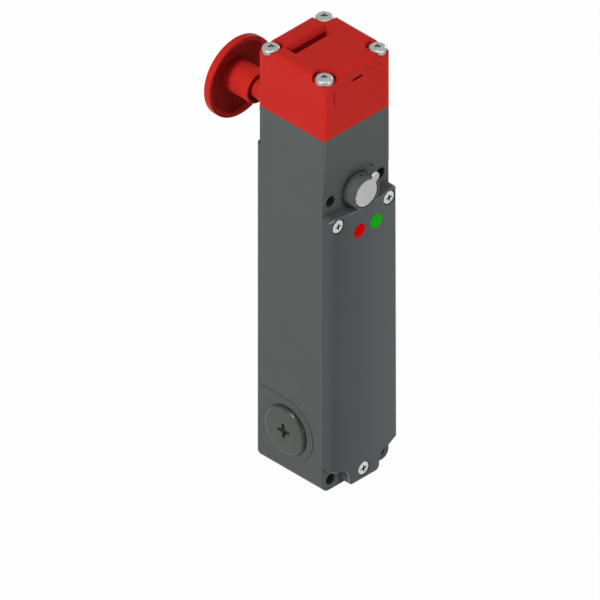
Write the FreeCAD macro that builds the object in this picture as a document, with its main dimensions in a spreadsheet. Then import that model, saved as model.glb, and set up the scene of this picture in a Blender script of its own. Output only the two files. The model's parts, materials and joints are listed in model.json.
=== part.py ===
import FreeCAD, Part
import math
import os
import re
import Sketcher
from FreeCAD import Placement, Rotation, Vector

# Tongue interlock switch: a grey housing with a red tongue head on top, a bolted front cover,
# an escape button on the back, a covered auxiliary release on the front and three cable entries.
# Millimetres. +Z is up, the cover faces -Y, the escape button +Y. The origin is the centre of the
# bottom cable entry's mouth, on the head's axis.

SIZES = {
    # housing
    "side": 40.0,
    "flange_face": 18.65,
    "back_face": 21.25,
    "step_above": 13.6,
    "brow_above": 5.1,
    "brow_radius": 12.0,
    "brow_blend": 3.5,
    "wall": 3.0,
    "deck": 4.0,
    "corner": 2.0,
    "foot_round": 4.0,
    # fixing holes
    "fixing_width": 30.0,
    "fixing_below": 0.2,
    "fixing_low": 5.2,
    "fixing_radius": 2.65,
    # cavity
    "bay_low": 16.5,
    "bay_room": 0.2,
    "shaft_half": 10.3,
    "mouth_above": 4.0,
    "upper_above": 7.0,
    "upper_half": 16.5,
    "upper_depth": 11.5,
    # cable entries
    "entry_radius": 9.19,
    "entry_thread": 12.0,
    "entry_relief": 10.2,
    "side_entry_depth": 2.3,
    "side_entry_height": 23.3,
    "entry_boss": 12.2,
    "entry_boss_length": 8.0,
    "pad_radius": 15.5,
    "pad_rise": 0.35,
    "plug_radius": 12.0,
    "plug_rise": 2.0,
    "plug_round": 0.8,
    "plug_shank": 8.0,
    "plug_bore": 7.0,
    "plug_floor": 2.0,
    "plug_cross": 8.0,
    "plug_cross_width": 1.9,
    "plug_cross_depth": 2.6,
    "seal_inner": 9.5,
    "seal_outer": 10.8,
    "seal_depth": 1.1,
    "thread_room": 0.1,
    # cover
    "cover_face": 24.0,
    "cover_skin": 2.5,
    "cover_round": 1.9,
    "cover_side_below": 5.6,
    "cover_mid_below": 7.7,
    "cover_top_flat": 5.4,
    "cover_notch": 8.7,
    "cover_side_low": 13.0,
    "cover_tab_half": 9.2,
    "cover_tab_low": 1.2,
    "cover_clip": 5.75,
    "cover_corner": 2.4,
    "cover_land": 1.2,
    "gasket_inset": 0.8,
    "gasket_width": 1.4,
    "gasket_depth": 1.4,
    "cover_screw_half": 15.3,
    "cover_screw_below": 10.7,
    "cover_screw_low": 5.9,
    "cover_sink": 3.9,
    "cover_sink_depth": 1.5,
    "screw_room": 0.2,
    # machine screws
    "small_head": 3.3,
    "small_head_rise": 1.7,
    "small_shank": 1.6,
    "small_length": 9.0,
    "head_screw_at": 16.0,
    "head_screw_radius": 4.0,
    "head_screw_rise": 2.9,
    "head_screw_shank": 1.95,
    "head_screw_grip": 11.0,
    "cross_width": 0.9,
    "cross_depth": 1.2,
    "cross_share": 0.55,
    "dome_edge": 0.45,
    "dome_crown": 0.62,
    "plate_screw_head": 2.6,
    "plate_screw_rise": 1.6,
    "plate_screw_shank": 1.25,
    # indicator lamps
    "lamp_below": 18.8,
    "red_lamp_at": -2.7,
    "green_lamp_at": 7.4,
    "lens_radius": 3.4,
    "lens_flange": 3.9,
    "lens_rise": 0.5,
    "board_face": 15.6,
    "board_thick": 1.4,
    "board_half": 13.5,
    "board_below": 20.2,
    "board_above": 1.5,
    "board_screw_at": 10.8,
    "board_screw_above": 4.0,
    "board_post": 2.3,
    "board_screw": 0.9,
    "emitter": 1.5,
    "emitter_gap": 1.3,
    "board_screw_head": 1.8,
    "board_screw_rise": 1.2,
    "board_screw_length": 3.5,
    "post_depth": 4.0,
    "lens_room": 0.1,
    "lens_flange_thick": 1.0,
    # head
    "head_room": 2.35,
    "head_round": 3.2,
    "head_roof": 5.7,
    "head_bay_half": 12.0,
    "head_bay_depth": 17.0,
    "seat_below": 3.2,
    "head_sink": 5.25,
    "head_gasket": 0.8,
    "gasket_rim": 1.2,
    "slot_half": 10.9,
    "slot_gap": 3.2,
    "slot_offset": 8.0,
    "funnel_inset": 2.5,
    "funnel_depth": 2.6,
    "blank_half": 14.2,
    "blank_inset": 2.7,
    "blank_thick": 2.1,
    "blank_hook": 1.7,
    "blank_gap": 0.1,
    "pry_half": 3.0,
    "pry_height": 0.9,
    "pry_depth": 1.4,
    # cam
    "cam_room": 0.95,
    "cam_radius": 11.0,
    "cam_half": 6.0,
    "cam_hub": 4.5,
    "cam_drop": 4.0,
    "cam_swing": 50.0,
    "cam_notch": 3.8,
    "cam_notch_depth": 4.5,
    "spindle_radius": 2.5,
    "spindle_half": 15.7,
    "bearing_half": 4.5,
    "bearing_thick": 3.8,
    "bearing_top": 4.4,
    "bearing_room": 0.1,
    # lock and switch rod
    "bolt_at": -3.3,
    "bolt_half": 2.9,
    "foot_above": 4.5,
    "foot_tall": 6.8,
    "bolt_foot_half": 4.5,
    "bolt_shelf": 7.0,
    "bolt_play": 0.35,
    "window_room": 0.45,
    "link_rise": 3.0,
    "neck_room": 1.0,
    "rod_at": 3.3,
    "rod_radius": 2.0,
    "rod_tip": 1.4,
    "rod_play": 0.5,
    "arm_above": 2.5,
    "arm_tall": 2.5,
    "strip_above": 0.5,
    "strip_left": 2.0,
    "strip_right": 6.0,
    "strip_front": 14.3,
    "strip_thick": 1.5,
    "carrier_wall": 1.5,
    "carrier_root": 0.5,
    "carrier_rise": 2.0,
    # solenoid
    "yoke_half": 13.0,
    "yoke_above": 4.0,
    "yoke_tall": 42.0,
    "yoke_thick": 2.5,
    "yoke_depth": 8.0,
    "yoke_tab": 8.0,
    "yoke_tab_low": 5.0,
    "yoke_tab_high": 29.0,
    "coil_radius": 9.6,
    "bobbin_flange": 10.1,
    "bobbin_skin": 0.8,
    "bobbin_rim": 1.2,
    "plunger_radius": 4.0,
    "plunger_gap": 5.0,
    "plunger_neck": 2.4,
    "core_tall": 12.0,
    "core_peg": 2.0,
    "spring_bore": 2.6,
    "spring_bore_depth": 12.0,
    "lock_spring_mean": 1.9,
    "lock_spring_wire": 0.5,
    "lock_spring_turns": 7.0,
    "spring_seat": 0.1,
    "link_radius": 0.8,
    # chassis, contact block and terminals
    "chassis_thick": 1.2,
    "chassis_half": 16.6,
    "chassis_gap": 2.5,
    "chassis_below": 3.0,
    "chassis_screw_left": 10.0,
    "chassis_screw_right": 13.0,
    "chassis_screw_above": 20.0,
    "chassis_screw_half": 12.0,
    "chassis_foot": 3.7,
    "chassis_screw_depth": 2.2,
    "block_half": 14.0,
    "block_above": 7.5,
    "block_tall": 45.5,
    "block_front": 2.0,
    "block_back": 13.8,
    "block_rail": 3.5,
    "channel_half": 7.8,
    "channel_front": 3.5,
    "channel_floor": 2.0,
    "channel_roof": 1.0,
    "terminal_rows": 4,
    "row_above": 9.5,
    "row_pitch": 10.0,
    "clamp_inner": 4.7,
    "clamp_outer": 12.7,
    "clamp_tall": 7.0,
    "clamp_deep": 3.2,
    "clamp_sink": 2.0,
    "screw_slot": 0.7,
    "screw_short": 0.4,
    "finger_inner": 3.8,
    "finger_outer": 7.0,
    "finger_back": 9.5,
    "leaf": 0.8,
    "bridge_half": 6.8,
    "bridge_front": 6.0,
    "bridge_back": 9.0,
    "carrier_half": 2.0,
    "rod_spring_at": 13.2,
    "rod_spring_mean": 2.0,
    "rod_spring_wire": 0.5,
    "rod_spring_turns": 4.0,
    "rod_spring_well": 3.0,
    "guide_above": 1.2,
    "guide_wall": 1.5,
    "guide_front": 1.0,
    "guide_tall": 2.0,
    "earth_height": 28.5,
    "earth_half": 4.0,
    "earth_thick": 1.5,
    "earth_screw_length": 3.5,
    # auxiliary release
    "pin_room": 0.5,
    "ring_radius": 7.8,
    "ring_bore": 6.75,
    "ring_face": 25.5,
    "ring_floor": 20.5,
    "wire_hole": 0.75,
    "wire_hole_at": 22.3,
    "release_shaft": 3.0,
    "release_head": 5.8,
    "release_head_rise": 2.4,
    "release_slot": 1.4,
    "release_slot_depth": 1.3,
    "release_seal_at": 1.0,
    "release_seal_thick": 1.2,
    "release_seal_deep": 0.7,
    "circlip_thick": 0.8,
    "circlip_deep": 0.4,
    "circlip_rim": 1.4,
    "crank_radius": 4.7,
    "crank_front": 11.0,
    "crank_back": 7.4,
    "crank_web": 1.2,
    "crank_offset": 3.0,
    "crank_pin": 1.2,
    "crank_pin_end": 3.9,
    "cap_radius": 6.45,
    "cap_thick": 0.95,
    "cap_gap": 0.25,
    "cap_depth": 1.6,
    "lobe_radius": 2.6,
    "lobe_reach": 8.0,
    "lobe_neck": 2.0,
    "lobe_angle": 45.0,
    # escape button
    "escape_above": 9.3,
    "bush_radius": 10.5,
    "bush_end": 29.0,
    "bush_neck": 7.0,
    "stem_radius": 4.8,
    "stem_inner": 14.5,
    "stem_outer": 52.0,
    "button_radius": 19.1,
    "button_rim_low": 50.0,
    "button_rim_high": 53.4,
    "button_lip": 1.8,
    "button_floor": 51.5,
    "button_crown": 57.0,
    "button_shoulder": 55.4,
    "button_edge": 0.6,
    "button_edge_deep": 0.8,
    "button_edge_low": 0.5,
    "button_draft": 0.9,
    "hub_blend": 2.6,
    "hub_radius": 7.55,
    "hub_bore": 6.4,
    "hub_end": 39.0,
    "hub_flare": 9.1,
    "hub_socket": 49.0,
    "escape_travel": 8.0,
    "escape_lift": 4.0,
    "blade_thick": 2.4,
    "blade_drop": 2.5,
    "collar_radius": 4.8,
    "collar_thick": 3.0,
    "blade_lead": 2.0,
    "escape_seal_deep": 1.4,
    "escape_seal_thick": 1.5,
    "escape_seal_land": 1.0,
    # clearances
    "running": 0.05,
    "slip": 0.02,
    "apart": 0.3,
    "past": 1.0,
}

# Heights that follow from one another, from the earth terminal up to the head

LEVELS = {
    "chassis_low": "earth_height + earth_half + chassis_gap",
    "block_low": "chassis_low + block_above",
    "block_high": "block_low + block_tall",
    "strip_low": "block_low + strip_above",
    "row_low": "block_low + row_above",
    "guide_height": "block_high + guide_above",
    "yoke_low": "block_high + yoke_above",
    "yoke_high": "yoke_low + yoke_tall",
    "core_high": "yoke_low + core_tall",
    "plunger_low": "core_high + plunger_gap",
    "chassis_high": "yoke_high - chassis_below",
    "chassis_screw_high": "yoke_low + chassis_screw_above",
    "chassis_screw_low": "chassis_low + chassis_foot",
    "bay_top": "yoke_high + bay_room",
    "mouth_top": "yoke_high + mouth_above",
    "bolt_foot_low": "yoke_high + foot_above",
    "bolt_foot_top": "bolt_foot_low + foot_tall",
    "release_height": "bolt_foot_top + crank_offset + crank_pin + pin_room",
    "fixing_high": "release_height - fixing_below",
    "cover_top_side": "release_height - cover_side_below",
    "cover_top_mid": "release_height - cover_mid_below",
    "cover_screw_high": "release_height - cover_screw_below",
    "lamp_height": "release_height - lamp_below",
    "board_low": "lamp_height - board_below",
    "board_high": "lamp_height + board_above",
    "board_screw_height": "board_low + board_screw_above",
    "brow": "release_height + brow_above",
    "upper_low": "release_height + upper_above",
    "rod_arm_low": "upper_low + arm_above",
    "rod_arm_high": "rod_arm_low + arm_tall",
    "back_step": "release_height + step_above",
    "escape_height": "back_step + escape_above",
    "body_top": "escape_height + bush_radius + apart",
    "cam_height": "body_top + cam_radius + cam_room",
    "head_top": "cam_height + cam_radius + head_room + head_roof",
    "head_seat": "head_top - seat_below",
}

doc = FreeCAD.newDocument("InterlockSwitch")
sheet = doc.addObject("Spreadsheet::Sheet", "Sizes")
for row, (alias, value) in enumerate(SIZES.items(), start=1):
    sheet.set("A%d" % row, alias)
    sheet.set("B%d" % row, str(value))
    sheet.setAlias("B%d" % row, alias)
doc.recompute()

PLANES = {"x": "YZ_Plane", "y": "XZ_Plane", "z": "XY_Plane"}
TURNS = {
    "x": Rotation(Vector(0, 1, 0), 90),
    "y": Rotation(Vector(1, 0, 0), -90),
    "-x": Rotation(Vector(0, 1, 0), -90),
    "-y": Rotation(Vector(1, 0, 0), 90),
    "z": Rotation(),
}


def bound(text):
    """Point each size's name in an expression at the sheet, with every level written out in sizes."""
    def point(match):
        name = match.group()
        if name in LEVELS:
            return f"({bound(LEVELS[name])})"
        return f"Sizes.{name}" if name in SIZES else name
    return re.sub(r"[a-z]\w*", point, str(text))


def size(text):
    """Work out a size, a level or an expression as a number."""
    return float(sheet.evalExpression(bound(text)))


def bind(thing, **values):
    """Tie properties of an object to the sheet; two underscores stand for a dot."""
    for name, text in values.items():
        thing.setExpression(name.replace("__", "."), bound(text))


def place(thing, x=0, y=0, z=0, turn="z"):
    """Turn an object and tie its place to the sheet."""
    thing.Placement = Placement(Vector(), TURNS[turn])
    bind(thing, Placement__Base__x=x, Placement__Base__y=y, Placement__Base__z=z)
    return thing


def block(x, y, z):
    """A box between pairs of expressions along X, Y and Z."""
    made = place(doc.addObject("Part::Box", "Block"), x[0], y[0], z[0])
    bind(made, Length=f"({x[1]}) - ({x[0]})", Width=f"({y[1]}) - ({y[0]})", Height=f"({z[1]}) - ({z[0]})")
    return made


def rod(radius, axis, low, high, at):
    """A cylinder along an axis from low to high; at holds its other two coordinates."""
    made = doc.addObject("Part::Cylinder", "Rod")
    bind(made, Radius=radius, Height=f"({high}) - ({low})")
    spots = {"x": (low, at[0], at[1]), "y": (at[0], low, at[1]), "z": (at[0], at[1], low)}
    return place(made, *spots[axis], turn=axis)


def cone(low_radius, high_radius, low, high):
    """A cone on the Z axis, from low to high."""
    made = doc.addObject("Part::Cone", "Cone")
    bind(made, Radius1=low_radius, Radius2=high_radius, Height=f"({high}) - ({low})")
    return place(made, 0, 0, low)


def cut(base, *tools):
    """Take tools away from a base, one after another."""
    made = base
    for tool in tools:
        step = doc.addObject("Part::Cut", "Cut")
        step.Base = made
        step.Tool = tool
        made = step
    return made


def fuse(*parts):
    """Join parts into one solid."""
    made = doc.addObject("Part::MultiFuse", "Fuse")
    made.Shapes = list(parts)
    made.Refine = True
    return made


def group(*parts):
    """Keep parts together as separate solids of one node."""
    made = doc.addObject("Part::Compound", "Group")
    made.Links = list(parts)
    return made


def rect(left, right, low, high):
    """The corners of a rectangle, as expressions."""
    return [(left, low), (right, low), (right, high), (left, high)]


def disc(across, up, radius):
    """A circle by its centre and radius, as expressions."""
    return (across, up, radius)


class Piece:
    """A body of sketched prisms and turned profiles, each size of which comes from the sheet."""

    def __init__(self, label):
        self.body = doc.addObject("PartDesign::Body", "Body")
        self.body.Label = label

    def plane(self, role):
        """One of the body's own origin features."""
        return next(f for f in self.body.Origin.OriginFeatures if f.Role == role)

    def sketch(self, axis, offset, *loops):
        """Draw closed loops square to an axis; every corner and centre is tied to the sheet."""
        made = self.body.newObject("Sketcher::SketchObject", "Sketch")
        made.AttachmentSupport = (self.plane(PLANES[axis]), [""])
        made.MapMode = "FlatFace"
        sign = "-" if axis == "y" else ""
        bind(made, AttachmentOffset__Base__z=f"{sign}({offset})")
        for loop in loops:
            if isinstance(loop, tuple):
                self.draw_circle(made, *loop)
            else:
                self.draw_corners(made, loop)
        return made

    def draw_circle(self, made, across, up, radius):
        """Add one circle to a sketch."""
        ring = made.addGeometry(Part.Circle(Vector(), Vector(0, 0, 1), 1), False)
        for kind, point, text in (("DistanceX", 3, across), ("DistanceY", 3, up)):
            index = made.addConstraint(Sketcher.Constraint(kind, -1, 1, ring, point, 1.0))
            made.setExpression("Constraints[%d]" % index, bound(text))
        index = made.addConstraint(Sketcher.Constraint("Radius", ring, 1.0))
        made.setExpression("Constraints[%d]" % index, bound(radius))

    def draw_corners(self, made, corners):
        """Add one closed outline of straight lines to a sketch."""
        count = len(corners)
        first = made.GeometryCount
        turns = [math.tau * index / count for index in range(count)]
        spots = [Vector(math.cos(turn), math.sin(turn), 0) for turn in turns]
        for index in range(count):
            made.addGeometry(Part.LineSegment(spots[index], spots[(index + 1) % count]), False)
        for index in range(count):
            after = first + (index + 1) % count
            made.addConstraint(Sketcher.Constraint("Coincident", first + index, 2, after, 1))
        for index, corner in enumerate(corners):
            for kind, text in zip(("DistanceX", "DistanceY"), corner):
                tie = made.addConstraint(Sketcher.Constraint(kind, -1, 1, first + index, 1, 1.0))
                made.setExpression("Constraints[%d]" % tie, bound(text))

    def add(self, axis, low, high, *loops):
        """Add a prism between two places on an axis."""
        start = high if axis == "y" else low
        made = self.body.newObject("PartDesign::Pad", "Pad")
        made.Profile = self.sketch(axis, start, *loops)
        bind(made, Length=f"({high}) - ({low})")
        return self

    def cut(self, axis, low, high, *loops):
        """Cut a prism between two places on an axis."""
        start = low if axis == "y" else high
        made = self.body.newObject("PartDesign::Pocket", "Pocket")
        made.Profile = self.sketch(axis, start, *loops)
        bind(made, Length=f"({high}) - ({low})")
        return self

    def turned(self, kind, corners, about):
        """Turn a closed outline drawn on the YZ plane about a line along Y."""
        made = self.body.newObject("PartDesign::" + kind, kind)
        sketch = self.sketch("x", "0", corners)
        line = sketch.addGeometry(Part.LineSegment(Vector(0, 1, 0), Vector(1, 1, 0)), True)
        sketch.addConstraint(Sketcher.Constraint("Horizontal", line))
        tie = sketch.addConstraint(Sketcher.Constraint("DistanceY", -1, 1, line, 1, 1.0))
        sketch.setExpression("Constraints[%d]" % tie, bound(about))
        made.Profile = sketch
        made.ReferenceAxis = (sketch, ["Axis0"])
        return self

    def funnel(self, outer, outer_at, inner, inner_at):
        """Cut a tapered opening between two outlines square to Z."""
        made = self.body.newObject("PartDesign::SubtractiveLoft", "Funnel")
        made.Profile = self.sketch("z", outer_at, outer)
        made.Sections = [self.sketch("z", inner_at, inner)]
        return self

    def soften(self, radius, wanted):
        """Round the edges that the test wanted picks."""
        doc.recompute()
        tip = self.body.Tip
        names = ["Edge%d" % i for i, edge in enumerate(tip.Shape.Edges, start=1) if wanted(edge)]
        if not names:
            raise RuntimeError("no edge to round on " + self.body.Label)
        made = self.body.newObject("PartDesign::Fillet", "Round")
        made.Base = (tip, names)
        bind(made, Radius=radius)
        return self


def runs_along(edge, axis):
    """Whether a straight edge lies along an axis, given as 0, 1 or 2."""
    if not isinstance(edge.Curve, Part.Line):
        return False
    way = edge.Curve.Direction
    return abs(abs((way.x, way.y, way.z)[axis]) - 1) < 1e-6


def near(value, target):
    """Whether two lengths are the same to a hundredth."""
    return abs(value - target) < 0.01


def centre(edge):
    """The middle of an edge's box."""
    return edge.BoundBox.Center


def across(sign, low, high):
    """The span from low to high along X, or its mirror image for the negative side."""
    return (f"-({high})", f"-({low})") if sign else (low, high)


nodes = []


def node(label, made):
    """Name a finished sub-part."""
    thing = made.body if isinstance(made, Piece) else made
    thing.Label = label
    nodes.append(thing)
    return thing


# Shared places

HALF = "side / 2"
BAY_HALF = "(side / 2 - wall)"
BAY_BACK = "(back_face - wall)"
DECK_LOW = "(body_top - deck)"
FIXING_HALF = "fixing_width / 2"
PAD_FACE = "(side / 2 + pad_rise)"
CHASSIS_FRONT = "(back_face - wall - chassis_thick)"
SINK_FLOOR = "(cover_sink_depth - cover_face)"
HEAD_BAY_TOP = "(head_top - head_roof)"
BOLT_TIP = "(cam_height - cam_radius - bolt_play)"
ROD_TOP = "(cam_height - cam_radius - rod_play)"
CAP_FACE = "(ring_face + cap_gap + cap_thick)"
BLADE_LOW = "(escape_height - blade_drop)"
SLOT_FRONT = "(slot_offset - slot_gap / 2)"
SLOT_BACK = "(slot_offset + slot_gap / 2)"
FRONT_SLOT_LOW = "(cam_height + slot_offset - slot_gap / 2)"
FRONT_SLOT_HIGH = "(cam_height + slot_offset + slot_gap / 2)"
BOARD_BACK = "(board_thick - board_face)"
BEARING_IN = "(head_bay_half + bearing_room)"
BEARING_OUT = "(head_bay_half + 2 * bearing_room + bearing_thick)"
PLUG_SHANK = "(entry_radius - thread_room)"

MOUTH = [
    (f"-{BAY_HALF}", "bay_low"), (BAY_HALF, "bay_low"), (BAY_HALF, "bay_top"), ("shaft_half", "bay_top"),
    ("shaft_half", "mouth_top"), ("-shaft_half", "mouth_top"), ("-shaft_half", "bay_top"),
    (f"-{BAY_HALF}", "bay_top"),
]


def mouth_ring(grow):
    """The housing's mouth, grown outwards by an expression."""
    wide, narrow = f"{BAY_HALF} + {grow}", f"shaft_half + {grow}"
    low, shoulder, top = f"bay_low - ({grow})", f"bay_top + {grow}", f"mouth_top + {grow}"
    return [
        (f"-({wide})", low), (wide, low), (wide, shoulder), (narrow, shoulder), (narrow, top),
        (f"-({narrow})", top), (f"-({narrow})", shoulder), (f"-({wide})", shoulder),
    ]


def four(across, up, radius):
    """Four circles mirrored about both axes of a sketch."""
    return [disc(f"{a}({across})", f"{b}({up})", radius) for a in ("", "-") for b in ("", "-")]


COVER_SCREWS = [("cover_screw_half", "cover_screw_high"), ("-cover_screw_half", "cover_screw_high"),
                ("0", "cover_screw_low")]
CHASSIS_SCREWS = [("-chassis_screw_left", "chassis_screw_high"),
                  ("chassis_screw_right", "chassis_screw_high"),
                  ("-chassis_screw_half", "chassis_screw_low"),
                  ("chassis_screw_half", "chassis_screw_low")]
LAMPS = {"red_lens": "red_lamp_at", "green_lens": "green_lamp_at"}
ROWS = [f"(row_low + {index} * row_pitch)" for index in range(int(SIZES["terminal_rows"]))]
SIDES = ("-", "")
WIRE_SIDES = 6  # flats round the wire of a spring


# Housing: a moulded box with its front open behind the cover, closed above by the deck

def make_housing():
    """The housing with its cavity, entries, release ring and pilot holes."""
    half, back = size("side") / 2, size("back_face")
    made = Piece("housing")
    made.add("z", "0", "body_top", rect(f"-{HALF}", HALF, f"-{HALF}", HALF))
    made.soften("corner", lambda e: runs_along(e, 2))
    made.cut("y", f"-{HALF}", "-flange_face", rect(f"-{HALF}", HALF, "0", "brow"))
    for low, high in ((f"-{HALF}", f"corner - {HALF}"), (f"{HALF} - corner", HALF)):
        made.add("z", "0", "brow", rect(low, high, "-flange_face", f"corner - {HALF}"))
    made.add("z", "0", "back_step", rect(f"-{HALF}", HALF, "0", "back_face"))
    made.cut("y", f"-{HALF}", "-flange_face", disc("0", "release_height", "brow_radius"))
    made.soften("brow_blend", lambda e: runs_along(e, 1) and near(centre(e).z, size("brow"))
                and abs(centre(e).x) < size("brow_radius"))
    made.soften("foot_round", lambda e: runs_along(e, 1) and near(abs(centre(e).x), half)
                and near(centre(e).z, 0))
    made.soften("corner", lambda e: runs_along(e, 2) and near(centre(e).y, back))
    made.cut("y", "-flange_face", BAY_BACK, MOUTH)
    made.cut("y", f"wall - {HALF}", f"{HALF} - wall", rect("-shaft_half", "shaft_half", "bay_top", DECK_LOW))
    made.cut("y", "-upper_depth", "upper_depth", rect("-upper_half", "upper_half", "upper_low", DECK_LOW))
    for sign in SIDES:
        made.add("x", *across(sign, f"{HALF} - entry_boss_length", HALF),
                 disc("side_entry_depth", "side_entry_height", "entry_boss"))
        made.add("x", *across(sign, f"{HALF} - wall", PAD_FACE),
                 disc("side_entry_depth", "side_entry_height", "pad_radius"))
        made.add("x", *across(sign, f"{HALF} - wall", PAD_FACE),
                 rect("side_entry_depth", "back_face - corner", "side_entry_height - pad_radius",
                      "side_entry_height + pad_radius"))
    made.cut("x", f"-{PAD_FACE}", PAD_FACE, disc("side_entry_depth", "side_entry_height", "entry_radius"))
    made.cut("z", "0", "entry_thread", disc("0", "0", "entry_radius"))
    made.cut("z", "entry_thread", "bay_low", disc("0", "0", "entry_relief"))
    made.cut("y", f"-{HALF}", "back_face", *[
        disc(f"{sign}{FIXING_HALF}", height, "fixing_radius")
        for sign in SIDES for height in ("fixing_low", "fixing_high")])
    made.cut("y", "-flange_face", "small_length - cover_sink_depth - flange_face + past", *[
        disc(spot, height, "small_shank + running") for spot, height in COVER_SCREWS])
    made.cut("z", "body_top - head_screw_grip - past", "body_top",
             *four("head_screw_at", "head_screw_at", "head_screw_shank + running"))
    made.cut("z", DECK_LOW, "body_top", rect("bolt_at - bolt_half - apart", "bolt_at + bolt_half + apart",
                                              "-(bolt_half + apart)", "bolt_half + apart"))
    made.cut("z", DECK_LOW, "body_top", disc("rod_at", "0", "rod_radius + apart"))
    made.add("y", "-ring_face", f"wall - {HALF}", disc("0", "release_height", "ring_radius"))
    made.cut("y", "-ring_face", "-ring_floor", disc("0", "release_height", "ring_bore"))
    made.cut("y", "-ring_floor", f"wall - {HALF}", disc("0", "release_height", "release_shaft + running"))
    made.cut("z", "release_height + ring_bore - past", "release_height + ring_radius + past",
             disc("0", "-wire_hole_at", "wire_hole"))
    made.cut("y", f"{HALF} - wall", HALF, disc("0", "escape_height", "bush_neck + slip"))
    made.cut("y", HALF, "back_face", disc("0", "escape_height", "bush_radius + slip"))
    made.cut("z", "upper_low - rod_spring_well", "upper_low",
             disc("rod_spring_at", "0", "rod_spring_mean + rod_spring_wire"))
    made.cut("y", BAY_BACK, f"{BAY_BACK} + chassis_screw_depth", *[
        disc(spot, height, "plate_screw_shank + slip") for spot, height in CHASSIS_SCREWS])
    made.cut("y", BAY_BACK, f"{BAY_BACK} + chassis_screw_depth",
             disc("0", "earth_height", "small_shank + slip"))
    return node("housing", made)


make_housing()


# Cover: a shallow moulded lid, clipped round the fixing holes and the release ring

def make_cover():
    """The front cover with its sunk screw seats, lamp holes and gasket groove."""
    low = "fixing_low + cover_clip"
    outline = [("-side / 2", "cover_side_low"), (f"-{FIXING_HALF}", low), ("-cover_tab_half", low),
               ("-cover_tab_half", "cover_tab_low"), ("cover_tab_half", "cover_tab_low"),
               ("cover_tab_half", low), (FIXING_HALF, low), ("side / 2", "cover_side_low"),
               ("side / 2", "cover_top_side"), ("cover_top_flat", "cover_top_mid"),
               ("-cover_top_flat", "cover_top_mid"), ("-side / 2", "cover_top_side")]
    half, tab, front = size("side") / 2, size("cover_tab_half"), -size("cover_face")
    made = Piece("cover")
    made.add("y", "-cover_face", "-flange_face", outline)
    made.cut("y", "-cover_face", "-flange_face", disc("0", "release_height", "cover_notch"))
    made.soften("cover_clip", lambda e: runs_along(e, 1) and near(abs(centre(e).x), tab)
                and centre(e).z > size("fixing_low"))
    made.soften("cover_corner", lambda e: runs_along(e, 1) and (
        (near(abs(centre(e).x), half) and centre(e).z > size("cover_top_mid"))
        or (near(abs(centre(e).x), tab) and centre(e).z < size("fixing_low"))))
    made.soften("cover_round", lambda e: near(e.BoundBox.YMin, front) and near(e.BoundBox.YMax, front))
    made.cut("y", "cover_skin - cover_face", "-flange_face", mouth_ring("-cover_land"))
    made.cut("y", "cover_skin - cover_face", "-flange_face", *[
        disc(spot, "lamp_height", "lens_flange + lens_room") for spot in LAMPS.values()])
    made.add("y", "cover_skin - cover_face", "-board_face", *[
        disc(f"{sign}board_screw_at", "board_screw_height", "board_post") for sign in SIDES])
    made.cut("y", "-board_face - post_depth", "-board_face", *[
        disc(f"{sign}board_screw_at", "board_screw_height", "board_screw + slip") for sign in SIDES])
    made.cut("y", "-flange_face - gasket_depth", "-flange_face", mouth_ring("gasket_inset"),
             mouth_ring("gasket_inset + gasket_width"))
    made.cut("y", "-cover_face", SINK_FLOOR, *[
        disc(spot, height, "cover_sink") for spot, height in COVER_SCREWS])
    made.cut("y", SINK_FLOOR, "-flange_face", *[
        disc(spot, height, "small_shank + screw_room") for spot, height in COVER_SCREWS])
    made.cut("y", "-cover_face", "cover_skin - cover_face", *[
        disc(spot, "lamp_height", "lens_radius + running") for spot in LAMPS.values()])
    return node("cover", made)


make_cover()


def make_gaskets():
    """The cord gasket in the cover's groove and the sheet gasket under the head."""
    made = Piece("cover_gasket")
    made.add("y", "-flange_face - gasket_depth + slip", "-flange_face - slip",
             mouth_ring("gasket_inset + slip"), mouth_ring("gasket_inset + gasket_width - slip"))
    node("cover_gasket", made)
    rim = "(side / 2 - gasket_rim - slip)"
    sheet_piece = Piece("head_gasket")
    sheet_piece.add("z", "body_top", "body_top + head_gasket - slip", rect(f"-{rim}", rim, f"-{rim}", rim))
    sheet_piece.soften("corner", lambda e: runs_along(e, 2))
    sheet_piece.cut("z", "body_top", "body_top + head_gasket", rect(
        "-head_bay_half", "head_bay_half", "-head_bay_depth", "head_bay_depth"))
    sheet_piece.cut("z", "body_top", "body_top + head_gasket", rect(
        f"-{BEARING_OUT}", BEARING_OUT, "-bearing_half - apart", "bearing_half + apart"))
    sheet_piece.cut("z", "body_top", "body_top + head_gasket",
                    *four("head_screw_at", "head_screw_at", "head_screw_shank + screw_room"))
    node("head_gasket", sheet_piece)


make_gaskets()


# Head: a moulded cap over the cam, with a slot on top and a blanked slot in front

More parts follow.
